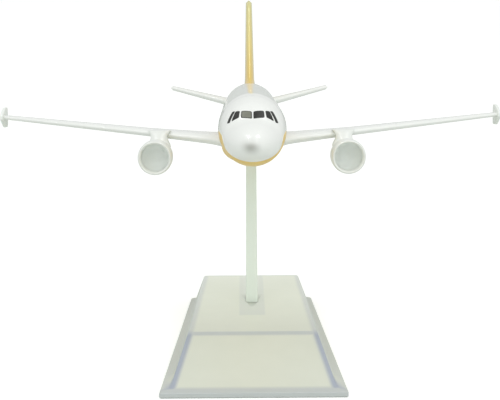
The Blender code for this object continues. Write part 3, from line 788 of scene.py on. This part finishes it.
# %% [markdown]
# ### Wingtip fences
#
# Each wingtip ends in an arrow-shaped plate that stands above and below it. Its outline is a closed
# polygon with rounded corners. The plate's edges are rounded too: towards each face the outline shrinks
# along a quarter circle.

# %% Rounded outlines and plates
def rounded_outline(corners, radii, steps=6):
    """A closed polygon whose corners are replaced by quadratic curves: each starts and stops at the
    radius's distance before and behind the corner, and is pulled towards it."""
    corners = np.asarray(corners, float)
    radii = np.broadcast_to(np.asarray(radii, float), len(corners))[:, None]
    before, after = np.roll(corners, 1, axis=0) - corners, np.roll(corners, -1, axis=0) - corners
    start = corners + before / np.linalg.norm(before, axis=1, keepdims=True) * radii
    stop = corners + after / np.linalg.norm(after, axis=1, keepdims=True) * radii
    t = np.linspace(0, 1, steps)[:, None]
    curves = (1 - t) ** 2 * start[:, None] + 2 * t * (1 - t) * corners[:, None] + t ** 2 * stop[:, None]
    return curves.reshape(-1, 2)


def shrunk(outline, inset):
    """The outline moved inwards by inset: each point goes along the normal between its neighbours."""
    along = np.roll(outline, -1, axis=0) - np.roll(outline, 1, axis=0)
    along /= np.linalg.norm(along, axis=1, keepdims=True)
    turned_in = np.column_stack([-along[:, 1], along[:, 0]])
    area = np.sum(outline[:, 0] * np.roll(outline[:, 1], -1) - outline[:, 1] * np.roll(outline[:, 0], -1))
    return outline + turned_in * inset * np.sign(area)


def edge_rows(half_thickness, radius, steps=5):
    """(inset, height) pairs up a plate's edge: a quarter circle, the straight part, a quarter circle."""
    angle = np.linspace(0, math.pi / 2, steps)
    low = np.column_stack([radius * (1 - np.sin(angle)), -half_thickness + radius * (1 - np.cos(angle))])
    return np.concatenate([low, (low * (1, -1))[::-1]])


FENCE_OUT = 17.03
FENCE_OUTLINE = ((19.40, -0.12), (20.55, -0.69), (21.35, -0.69), (21.45, 0.0), (21.35, 0.69), (20.55, 0.69),
                 (19.40, 0.22))
fence_line = rounded_outline(FENCE_OUTLINE, (0.12, 0.22, 0.16, 0.1, 0.16, 0.22, 0.12))
for side, word in ((-1, "left"), (1, "right")):
    rows = [np.column_stack([np.full(len(fence_line), side * FENCE_OUT + mm(height)),
                             shrunk(fence_line, mm(inset))]) for inset, height in edge_rows(0.45, 0.28)]
    fence = loft(f"{word}_fence_plate", seat(np.array(rows)), fence_plastic, sharp=60)
    install(fence, "airliner", "fence_plastic", f"{word}_wingtip_fence")

# %% [markdown]
# ## Engines
#
# Each engine is a moulded cowl with a deep round mouth, hung from the wing by a pylon moulded in one with
# it. The cowl is a turned profile. The pylon is a skin over outlines stacked upwards: narrow in the
# middle, and flared below into the cowl and above into the wing, as a moulding's fillets are. The two are
# joined into one solid.

# %% Cowl and pylon
ENGINE = (6.03, 10.85, -2.084)  # out, inlet lip, height
PYLON_INBOARD = 0.6  # mm
COWL_LINE = profile(
    [(0.0, 6.2), (3.60, 6.2)],
    smooth_line([(3.60, 6.1), (3.62, 3.2), (3.66, 1.2), (3.85, 0.30), (4.15, 0.0), (4.42, 0.35), (4.56, 1.2),
                 (4.62, 2.6), (4.60, 6.0), (4.30, 9.5), (3.70, 13.0), (3.00, 16.6), (2.57, 18.6)], 8),
    [(2.50, 18.7), (2.28, 18.7)],
    smooth_line([(2.22, 18.6), (2.30, 16.5), (2.40, 14.0)], 4),
    [(0.0, 14.0)])
PYLON = np.array((  # over the engine's axis, front, back, width, mm
    (2.4, 4.6, 15.4, 6.6), (3.2, 5.2, 16.2, 6.0), (3.9, 5.9, 17.0, 5.1), (4.5, 6.6, 17.6, 4.5),
    (5.1, 7.4, 18.2, 4.4), (5.7, 8.3, 18.8, 4.8), (6.2, 9.1, 19.2, 5.5), (6.6, 9.9, 19.5, 6.2)))


def pylon_grid(side):
    """Outlines at rising heights: round in front with the width as diameter, tapered to a blunt tail
    behind. A point at an angle is half the width times the sine across, and the cosine along, squared off
    forward."""
    height = np.linspace(PYLON[0, 0], PYLON[-1, 0] - 1e-9, 40)[:, None]
    front, back, width = (through(height, PYLON[:, 0], PYLON[:, k]) for k in (1, 2, 3))
    angle = np.linspace(0, TURN, 96, endpoint=False)[None, :]
    share = (1 - np.cos(angle)) / 2
    half = width / 2 * np.sqrt(np.clip(1 - (1 - np.clip(share / 0.22, 0, 1)) ** 2, 0, 1))
    half = half * (1 - 0.75 * ramp(share, 0.45, 1.0)) * np.clip((1 - share) / 0.01, 0, 1) ** 0.5
    across = np.sign(np.sin(angle)) * half - side * PYLON_INBOARD
    return np.stack([across, front + share * (back - front), height + 0 * angle], axis=-1)


FAN_GATE = (math.radians(43), 2.45, 0.30)  # angle, radius and size of the moulding gate's dimple, mm


def fan_dish(name, centre, gate):
    """The disc behind the mouth. Its depth follows the radius: a low boss in the middle, a flat ring, and
    a rim swept forward along the cowl's wall. A moulding gate leaves a dimple, a bell curve of depth round
    its place."""
    line = smooth_line([(0.0, 5.30), (0.5, 5.34), (1.1, 5.46), (1.7, 5.50), (2.4, 5.30), (2.9, 4.85),
                        (3.3, 4.1), (3.58, 3.0)], 8)
    angle = np.linspace(0, TURN, 128, endpoint=False)[None, :]
    front_r, front_d = line[:, :1] + 0 * angle, line[:, 1:] + 0 * angle
    across, up = front_r * np.cos(angle), front_r * np.sin(angle)
    away = np.hypot(across - FAN_GATE[1] * math.cos(FAN_GATE[0]), up - FAN_GATE[1] * math.sin(FAN_GATE[0]))
    front_d = front_d + gate * 0.35 * np.exp(-(away / FAN_GATE[2]) ** 2)
    back_r = np.array((3.58, 0.0))[:, None] + 0 * angle
    radius, depth = np.concatenate([front_r, back_r]), np.concatenate([front_d, 5.9 + 0 * back_r])
    points = np.stack([radius * np.cos(angle), depth, radius * np.sin(angle)], axis=-1)
    return loft(name, seat(mm(points) + centre), fan_plastic, (False, False))


CONE_LINE = profile(
    [(0.0, 14.3), (1.95, 14.3)],
    smooth_line([(1.95, 14.4), (1.85, 16.0), (1.40, 18.9), (0.85, 20.4), (0.45, 21.15), (0.0, 21.4)], 8))

for side, word in ((-1, "left"), (1, "right")):
    centre = np.array(ENGINE) * (side, 1, 1)
    cowl = turned(f"{word}_cowl", COWL_LINE, centre, cowl_plastic, sharp=40)
    pylon = loft("pylon_tool", seat(mm(pylon_grid(side)) + centre), cowl_plastic)
    mouth = turned("mouth_tool", profile([(0.0, 6.19), (3.61, 6.19), (3.61, 1.0), (0.0, 1.0)]), centre,
                   cowl_plastic)
    carve(pylon, mouth)
    carve(cowl, pylon, "UNION")
    install(cowl, "airliner", "nacelle_plastic", f"{word}_nacelle")
    dish = fan_dish(f"{word}_fan_dish", centre, gate=float(side < 0))
    install(dish, "airliner", "fan_plastic", f"{word}_fan_disc")
    cone = turned(f"{word}_exhaust_plug", CONE_LINE, centre, cone_plastic, steps=64)
    install(cone, "airliner", "cone_plastic", f"{word}_exhaust_cone")

# %% [markdown]
# ## Printed windows and doors
#
# Windows and door outlines are pad-printed: flat ink a few hundredths of a millimetre thick. Each is made
# as a thin slab that follows the skin. A slab is a disc of rings whose outer ones are pushed towards a
# square, laid between four corners, with a top face, an edge and a bottom face just under the skin.

# %% Ink and a slab that follows the skin
INK_RISE = 0.025  # mm
INK_ROOT = -0.05
RIM_INK = "10110F"


def make_ink(name, tone, drift):
    """Pad-printed ink: a dark, slightly uneven film with a soft gloss, and fuller at a pane's rim."""
    material, shader = new_material(name, Roughness=0.40, IOR=1.35)
    colour = add_mottle(material, add_peel(material, shader, 0.8, 0.002), tone, drift, 1.2)
    rim = add_node(material, "ShaderNodeAttribute", {"attribute_name": "rim"}).outputs["Fac"]
    mix = add_node(material, "ShaderNodeMix", MIX_COLOURS, {"B": linear(RIM_INK)},
                   {"Factor": rim, "A": colour})
    wire(material, mix.outputs["Result"], shader, "Base Color")
    return material


# Black for most panes. The two in front take lighter inks, the left lighter than the right, as a painted
# reflection of the bright tent in the glossy windscreen. Pale grey for door outlines.
ink = make_ink("pad_printed_dark_ink", "161714", "1F201C")
right_windscreen_reflection_ink = make_ink("dark_ink_with_painted_reflection_right", "262622", "1E1E1B")
left_windscreen_reflection_ink = make_ink("dark_ink_with_painted_reflection_left", "86877A", "6C6D60")
line_ink = make_ink("pad_printed_grey_ink", "B9BDBA", "C3C6C2")


def squircle(rings, steps, corner):
    """Rings of points from a middle out to a rounded square of half size 1. A ring at radius r is r times
    the unit circle, divided by its corner-norm: the larger the corner number, the squarer."""
    angle = np.linspace(0, TURN, steps, endpoint=False)[None, :]
    across, up = np.cos(angle), np.sin(angle)
    norm = (abs(across) ** corner + abs(up) ** corner) ** (1 / corner)
    return rings[:, None] * across / norm, rings[:, None] * up / norm


def pane(name, corners, finish, steps=64, corner=9):
    """A printed pane between four (x, degrees) corners: inner top, outer top, outer bottom, inner bottom.
    A point inside is the corners' mean, weighted by how near it is to each."""
    rings = np.linspace(0, 1, 13)
    s, t = squircle(np.concatenate([rings, rings[::-1]]), steps, corner)
    rise = np.concatenate([np.full(13, INK_RISE), np.full(13, INK_ROOT)])[:, None]
    weights = ((1 - s) * (1 + t) / 4, (1 + s) * (1 + t) / 4, (1 + s) * (1 - t) / 4, (1 - s) * (1 - t) / 4)
    x, angle = (sum(w * corner[k] for w, corner in zip(weights, corners)) for k in (0, 1))
    points = on_skin(x, np.radians(angle), rise + 0 * s)
    rim = 0.9 * ramp(np.concatenate([rings, rings[::-1]])[:, None] + 0 * s, 0.72, 0.95)
    return loft(name, seat(points), finish, (False, False), attributes=[("rim", rim)])


# %% Cockpit panes
PANES = {  # (from the nose, degrees away from the crown) at the four corners
    "front": ((2.84, 1.4), (3.05, 21.0), (2.55, 24.0), (2.31, 1.4)),
    "side": ((3.10, 24.0), (3.25, 32.4), (2.67, 45.0), (2.62, 27.6)),
    "corner": ((3.29, 33.4), (3.43, 38.4), (2.90, 57.0), (2.70, 50.2)),
}
for side, word in ((-1, "left"), (1, "right")):
    for place_name, corners in PANES.items():
        # The front panes' lighter inks are painted reflection.
        finish = {"left": left_windscreen_reflection_ink, "right": right_windscreen_reflection_ink}[word] if place_name == "front" else ink
        window = pane(f"{word}_{place_name}_pane", [(x, 90 - side * away) for x, away in corners], finish)
        install(window, "airliner", "white_enamel")

# %% Cabin windows and doors
WINDOW_PITCH = 0.533
WINDOW_HEIGHT = 0.50
WINDOW_HALF = (0.50, 0.72)  # along and up, mm
window_rings = np.array((0.0, 0.5, 1.0))
DOORS = (  # from the nose, height, half length and half height
    (5.35, 0.15, 0.42, 0.95), (29.2, 0.35, 0.40, 0.90), (14.35, 0.62, 0.27, 0.50), (15.4, 0.62, 0.27, 0.50))


def height_angle(x, height):
    """The angle on the right side at which the skin has a given height."""
    half, middle, reach = section(x)
    return np.arcsin(np.clip((height - middle) / reach, -0.999, 0.999))


def printed(name, x, height, rise, side, faces, material):
    """A thin print on one side, from sheets of places along the length and of heights."""
    angle = height_angle(x, height)
    angle = angle if side > 0 else math.pi - angle
    return build_mesh(name, seat(on_skin(x, angle, rise)), faces, material)


def window_row(name, side):
    """All cabin windows of one side: rows of the same small slab, moved by the pitch."""
    first = np.arange(6.6, 28.2, WINDOW_PITCH)
    keep = np.all([abs(first - door[0]) > door[2] + 0.12 for door in DOORS[:2]], axis=0)
    x0 = first[keep][:, None, None]
    s, t = squircle(np.concatenate([window_rings, window_rings[::-1]]), 12, 3.0)
    rise = np.where(np.arange(6) < 3, INK_RISE, INK_ROOT)[None, :, None] + 0 * s
    x, z = x0 + mm(WINDOW_HALF[0]) * s, WINDOW_HEIGHT + mm(WINDOW_HALF[1]) * t + 0 * x0
    faces = [sheet_faces(6, 12, True, offset=k * 72) for k in range(len(x0))]
    return printed(name, x, z, rise + 0 * x0, side, faces, ink)


def door_lines(name, side):
    """Door outlines of one side: each is a slab between an outer and an inner rounded rectangle."""
    x0, z0, half_x, half_z = (np.array(column)[:, None, None] for column in zip(*DOORS))
    s, t = squircle(np.ones(4), 48, 7.0)
    inset = mm(np.array((0.0, 0.14, 0.14, 0.0)))[None, :, None]
    rise = np.array((INK_RISE, INK_RISE, INK_ROOT, INK_ROOT))[None, :, None] + 0 * s
    x, z = x0 + (half_x - inset) * s, z0 + (half_z - inset) * t
    quads = [sheet_faces(5, 48, True) % 192 + k * 192 for k in range(len(DOORS))]
    return printed(name, x, z, rise + 0 * x0, side, quads, line_ink)


for side, word in ((-1, "left"), (1, "right")):
    install(window_row(f"{word}_window_row", side), "airliner", "white_enamel")
    install(door_lines(f"{word}_door_lines", side), "airliner", "white_enamel")

# %% [markdown]
# ## The stand
#
# Post and base are moulded in frosted polystyrene. Part of the light passes, so the inner walls show faintly
# through the top. The shader lets a share of the light straight through. Where a wall stands behind the face
# the light has more plastic to cross and comes out bluer, and that is painted shade: one attribute, the share
# of wall behind a point, paints the plastic darker and bluer there. Another attribute drives a painted glow,
# an emission that stands for the light reaching the plastic from the bright paper behind.

# %% Frosted polystyrene
# The bluish tone of the painted shade over the walls.
WALL_SHADE_TONE = "AEB6C5"
# The band over the boss is painted shade, bluer where the boss stands behind the top.
BOSS_HALF, BOSS_REACH = 3.65, -20.0  # half width of the band over the socket's boss, and its front end, mm


def make_frosted(name, opacity, roughness, thin_tone, painted_glow, over_walls):
    """Frosted polystyrene: mould-blasted, with a fine grain of 0.25 mm, and painted shade, bluish, over the
    walls and the socket's boss. The glow is painted light, an emission for the tent's light come through from
    behind."""
    material, shader = new_material(name, Roughness=roughness, IOR=1.59, Alpha=opacity,
                                    Emission_Color=linear("EEF4E8"), Emission_Strength=painted_glow)
    coordinates = add_peel(material, shader, length=0.25, height=0.003)
    colour = add_mottle(material, coordinates, *thin_tone, 6.0)
    if over_walls:
        # Painted shade: bluer where the walls or the boss stand behind the surface.
        axes = add_node(material, "ShaderNodeSeparateXYZ", {}, {}, {"Vector": coordinates})
        across = add_node(material, "ShaderNodeMath", {"operation": "ABSOLUTE"}, {}, {0: axes.outputs["X"]})
        beside = add_node(material, "ShaderNodeMapRange", {"interpolation_type": "SMOOTHSTEP"},
                          {"From Min": (BOSS_HALF + 0.35) * MM, "From Max": (BOSS_HALF - 0.35) * MM,
                           "To Max": 0.22}, {"Value": across.outputs["Value"]})
        along = add_node(material, "ShaderNodeMapRange", {"interpolation_type": "SMOOTHSTEP"},
                         {"From Min": (BOSS_REACH - 0.8) * MM, "From Max": (BOSS_REACH + 0.8) * MM},
                         {"Value": axes.outputs["Y"]})
        boss = add_node(material, "ShaderNodeMath", {"operation": "MULTIPLY"}, {},
                        {0: beside.outputs["Result"], 1: along.outputs["Result"]})
        walls = add_node(material, "ShaderNodeAttribute", {"attribute_name": "wall_shade_share"})
        share = add_node(material, "ShaderNodeMath", {"operation": "MAXIMUM"}, {},
                         {0: walls.outputs["Fac"], 1: boss.outputs["Value"]})
        colour = add_node(material, "ShaderNodeMix", MIX_COLOURS, {"B": linear(WALL_SHADE_TONE)},
                          {"Factor": share.outputs["Value"], "A": colour}).outputs["Result"]
        # Painted light: the glow attribute drives an emission.
        painted_light = add_node(material, "ShaderNodeAttribute", {"attribute_name": "painted_glow"}).outputs["Fac"]
        wire(material, painted_light, shader, "Emission Strength")
    wire(material, colour, shader, "Base Color")
    return material


# The post's glow of 0.13 is painted light, lifting the shade under the fuselage.
frosted_base = make_frosted("mould_blasted_frosted_polystyrene", 0.90, 0.40, ("E6E9DC", "E1E5D7"), 0.0, True)
frosted_post = make_frosted("polished_frosted_polystyrene", 0.80, 0.30, ("E5EDE4", "E0E9DF"), 0.13, False)

# %% [markdown]
# ### Base
#
# The base is an upside-down tray: a thin flange, and on it a block with drafted sides and a long sloping
# front, hollow below. Seen from above every outline is a trapezium with rounded corners. One sheet of such
# outlines makes it all: from the middle of the ceiling out, down the inner wall, out under the flange, up
# its edge, in to the foot, up the outer wall, round the top edge and in to the middle of the top.

# %% Base tray
FLANGE = (-63.5, 28.3, 23.75, 19.1, 1.5)  # front, back, half width in front, half width behind, thickness, mm
BLOCK_TOP, BLOCK_FRONT, CREASE, TOP_BACK, BLOCK_BACK = 9.3, -60.3, -38.7, 26.5, 28.0
CREASE_HALF, PLAN_TAPER, SIDE_DRAFT, BASE_WALL = 17.4, 0.04, math.radians(20), 1.3


def block_corners(z, wall):
    """The block's outline at a height, inside its outer face by the wall: front and back follow their
    slopes, and the half width falls towards the back and the top."""
    share = (z - FLANGE[4]) / (BLOCK_TOP - FLANGE[4])
    rise, run = BLOCK_TOP - FLANGE[4], CREASE - BLOCK_FRONT
    front = BLOCK_FRONT + share * run + wall * math.hypot(run, rise) / rise
    back = BLOCK_BACK + share * (TOP_BACK - BLOCK_BACK) - wall
    half = [CREASE_HALF - PLAN_TAPER * (y - CREASE) + math.tan(SIDE_DRAFT) * (BLOCK_TOP - z)
            - wall / math.cos(SIDE_DRAFT) for y in (front, back)]
    return (-half[0], front), (half[0], front), (half[1], back), (-half[1], back)


def flange_corners(inset=0.0):
    """The flange's outline, inside its edge by the inset."""
    front, back, wide, narrow, _ = FLANGE
    return ((-wide + inset, front + inset), (wide - inset, front + inset), (narrow - inset, back - inset),
            (-narrow + inset, back - inset))


def tray_rows():
    """(corners, corner radius, height) of each outline, in order along the profile, mm."""
    top, flange, turn_steps = BLOCK_TOP, FLANGE[4], np.linspace(0, math.pi / 2, 5)
    edge, fillet = 0.35, 0.5
    centre = ((-0.5, -12.5), (0.5, -12.5), (0.5, -11.5), (-0.5, -11.5))
    rows = [(centre, 0.1, top - BASE_WALL), (block_corners(top - BASE_WALL, BASE_WALL), 0.5, top - BASE_WALL)]
    rows += [(block_corners(z, BASE_WALL), 0.5, z) for z in (6.0, 4.0, 2.0, 0.25)]
    rows += [(block_corners(0.0, BASE_WALL - 0.2), 0.5, 0.0), (flange_corners(0.3), 0.4, 0.0)]
    rows += [(flange_corners(), 0.5, 0.3), (flange_corners(), 0.5, flange - 0.3)]
    rows += [(flange_corners(0.3 * (1 - math.cos(a))), 0.5, flange - 0.3 * (1 - math.sin(a)))
             for a in turn_steps]
    rows += [(block_corners(flange + fillet * (1 - math.cos(a)), -fillet * (1 - math.sin(a))), 0.6,
              flange + fillet * (1 - math.cos(a))) for a in turn_steps]
    rows += [(block_corners(z, 0.0), 0.6, z) for z in np.linspace(2.6, top - edge, 18)]
    rows += [(block_corners(top - edge * (1 - math.sin(a)), edge * (1 - math.cos(a))), 0.6,
              top - edge * (1 - math.sin(a))) for a in turn_steps[1:]]
    return rows + [(centre, 0.1, top)]


def filled(outline, steps=6, extra=36):
    """A rounded outline with more points along its straight sides, closer together near the corners."""
    arcs = outline.reshape(-1, steps, 2)
    start, stop = arcs[:, -1:], np.roll(arcs, -1, axis=0)[:, :1]
    t = ((1 - np.cos(np.linspace(0, math.pi, extra + 2)[1:-1])) / 2)[None, :, None]
    return np.concatenate([arcs, start + (stop - start) * t], axis=1).reshape(-1, 2)


def wall_shade_share(points):
    """How much painted shade, darker and bluer, a point of the tray gets for the plastic behind it: a band
    along the block's side edges, a band along the crease, the front edge of the flange, and faintly the
    flange's sides. A side band depends on the distance in plan from the edge between the side and the face
    above it."""
    x, y, z = (points[..., k] for k in range(3))
    face = np.interp(y, [BLOCK_FRONT, CREASE, TOP_BACK, BLOCK_BACK],
                     [FLANGE[4], BLOCK_TOP, BLOCK_TOP, FLANGE[4]])
    edge = CREASE_HALF - PLAN_TAPER * (y - CREASE) + math.tan(SIDE_DRAFT) * (BLOCK_TOP - face)
    beside, behind = abs(x) - edge, y - CREASE
    strong = np.interp(behind, [-0.5, 4.0], [1.0, 0.4]) * ramp(y, BLOCK_FRONT - 0.8, BLOCK_FRONT)
    side = strong * (1 - ramp(abs(beside + 0.15), 0.45, 1.75))
    crease = (beside < 0) * 0.5 * ramp(behind, -0.7, -0.2) * (1 - ramp(behind, 2.0, 2.9))
    rim = 0.5 * (1 - ramp(y, BLOCK_FRONT - 0.5, BLOCK_FRONT + 0.6))
    flange = 0.25 * ramp(beside, 1.4, 2.2)
    back = (beside < 0) * 0.4 * ramp(y, TOP_BACK - 1.6, TOP_BACK - 0.6)
    return np.maximum.reduce([side, crease, rim, flange, back])


rows = tray_rows()
top_row, centre_row = rows[-2][0], np.array(rows[-1][0])
for share in (0.01, 0.02, 0.035, 0.05, 0.065, 0.08, 0.1, 0.12, 0.2, 0.35, 0.6, 0.8):
    between = np.array(top_row) * (1 - share) + centre_row * share
    rows.insert(-1, (between, 0.6 * (1 - share) + 0.1, BLOCK_TOP))
tray = np.array([np.column_stack([line, np.full(len(line), height)]) for line, height in
                 ((filled(rounded_outline(corners, radius, 6)), height) for corners, radius, height in rows)])
POST_PLACE = np.array((0.0, float(seat((0.0, POST_STATION, -2.60))[1]), 0.0))
# Painted light: a glow on the top, rising towards the back, which also lifts the shade the airliner casts
# there.
painted_glow = np.interp(tray[..., 1], [CREASE, 0.0, TOP_BACK], [0.0, 0.15, 0.19]) * ramp(tray[..., 2], 7.0, 9.0)
base = loft("stand_base_tray", tray * MM, frosted_base, sharp=25,
            attributes=[("wall_shade_share", wall_shade_share(tray)), ("painted_glow", painted_glow)])

# %% Boss and socket
TENON_HALF = (1.4, 1.9)


def upright_rows(rows, steps=6):
    """Rounded rectangles stacked along a post: (half across, half along, height, corner radius), mm, about
    the post's place."""
    sheet = [np.column_stack([rounded_outline(((-a, -b), (a, -b), (a, b), (-a, b)), radius, steps),
                              np.full(4 * steps, height)]) for a, b, height, radius in rows]
    return np.array(sheet) * MM + POST_PLACE


boss_rows = [(BOSS_HALF, BOSS_HALF, 4.2, 0.5), (BOSS_HALF + 0.1, BOSS_HALF + 0.1, 8.6, 0.5)]
boss = loft("boss_tool", upright_rows(boss_rows), frosted_base)
carve(base, boss, "UNION")
socket = upright_rows([(TENON_HALF[0] + 0.3, TENON_HALF[1] + 0.3, height, 0.25) for height in (5.0, 10.3)])
carve(base, loft("socket_tool", socket, frosted_base))
install(base, "stand_base", "stand_plastic", "stand_base")

# %% [markdown]
# ### Post
#
# The post is one moulding: a tenon in the base's socket, a slim tapered shaft, and a tongue that leans
# with the airliner into its belly. Outlines up to the shoulder are level. From there to the head they turn
# by the tilt.

# %% Post
GAP = 0.3  # between the post's head and the belly, mm
BELLY = seat((0.0, POST_STATION, -2.60))
LEAN = np.array((0.0, math.sin(TILT), math.cos(TILT)))
POST_FOOT, POST_HEAD, TONGUE, TONGUE_LENGTH = (1.7, 2.2), (1.5, 2.0), (1.0, 1.5), 8.0


def leaning_rows(rows, steps=6):
    """Rounded rectangles square to the leaning line through the belly point: (half across, half along,
    distance along the line, corner radius), mm."""
    aft = np.array((0.0, math.cos(TILT), -math.sin(TILT)))
    sheet = []
    for a, b, distance, radius in rows:
        line = rounded_outline(((-a, -b), (a, -b), (a, b), (-a, b)), radius, steps) * MM
        sheet.append(BELLY + LEAN * distance * MM + line[:, :1] * (1.0, 0.0, 0.0) + line[:, 1:] * aft)
    return np.array(sheet)


shoulder = BLOCK_TOP + 0.02
lower_rows = upright_rows([
    (1.2, 1.7, 5.3, 0.2), (*TENON_HALF, 5.9, 0.25), (*TENON_HALF, shoulder, 0.25),
    (POST_FOOT[0] - 0.03, POST_FOOT[1] - 0.03, shoulder, 0.5), (*POST_FOOT, shoulder + 0.03, 0.5)])
upper_rows = leaning_rows([
    (*POST_HEAD, -GAP - 0.2, 0.45), (POST_HEAD[0] - 0.2, POST_HEAD[1] - 0.2, -GAP, 0.35),
    (*TONGUE, -GAP, 0.25), (*TONGUE, TONGUE_LENGTH - 0.6, 0.25),
    (TONGUE[0] - 0.2, TONGUE[1] - 0.2, TONGUE_LENGTH, 0.2)])
rise = np.linspace(0, 1, 14)[1:-1, None, None]
shaft_rows = lower_rows[-1] * (1 - rise) + upper_rows[0] * rise
post_rows = np.concatenate([lower_rows, shaft_rows, upper_rows])
post = loft("stand_post_moulding", post_rows, frosted_post, sharp=40)
install(post, "stand_post", "stand_plastic", "stand_post")
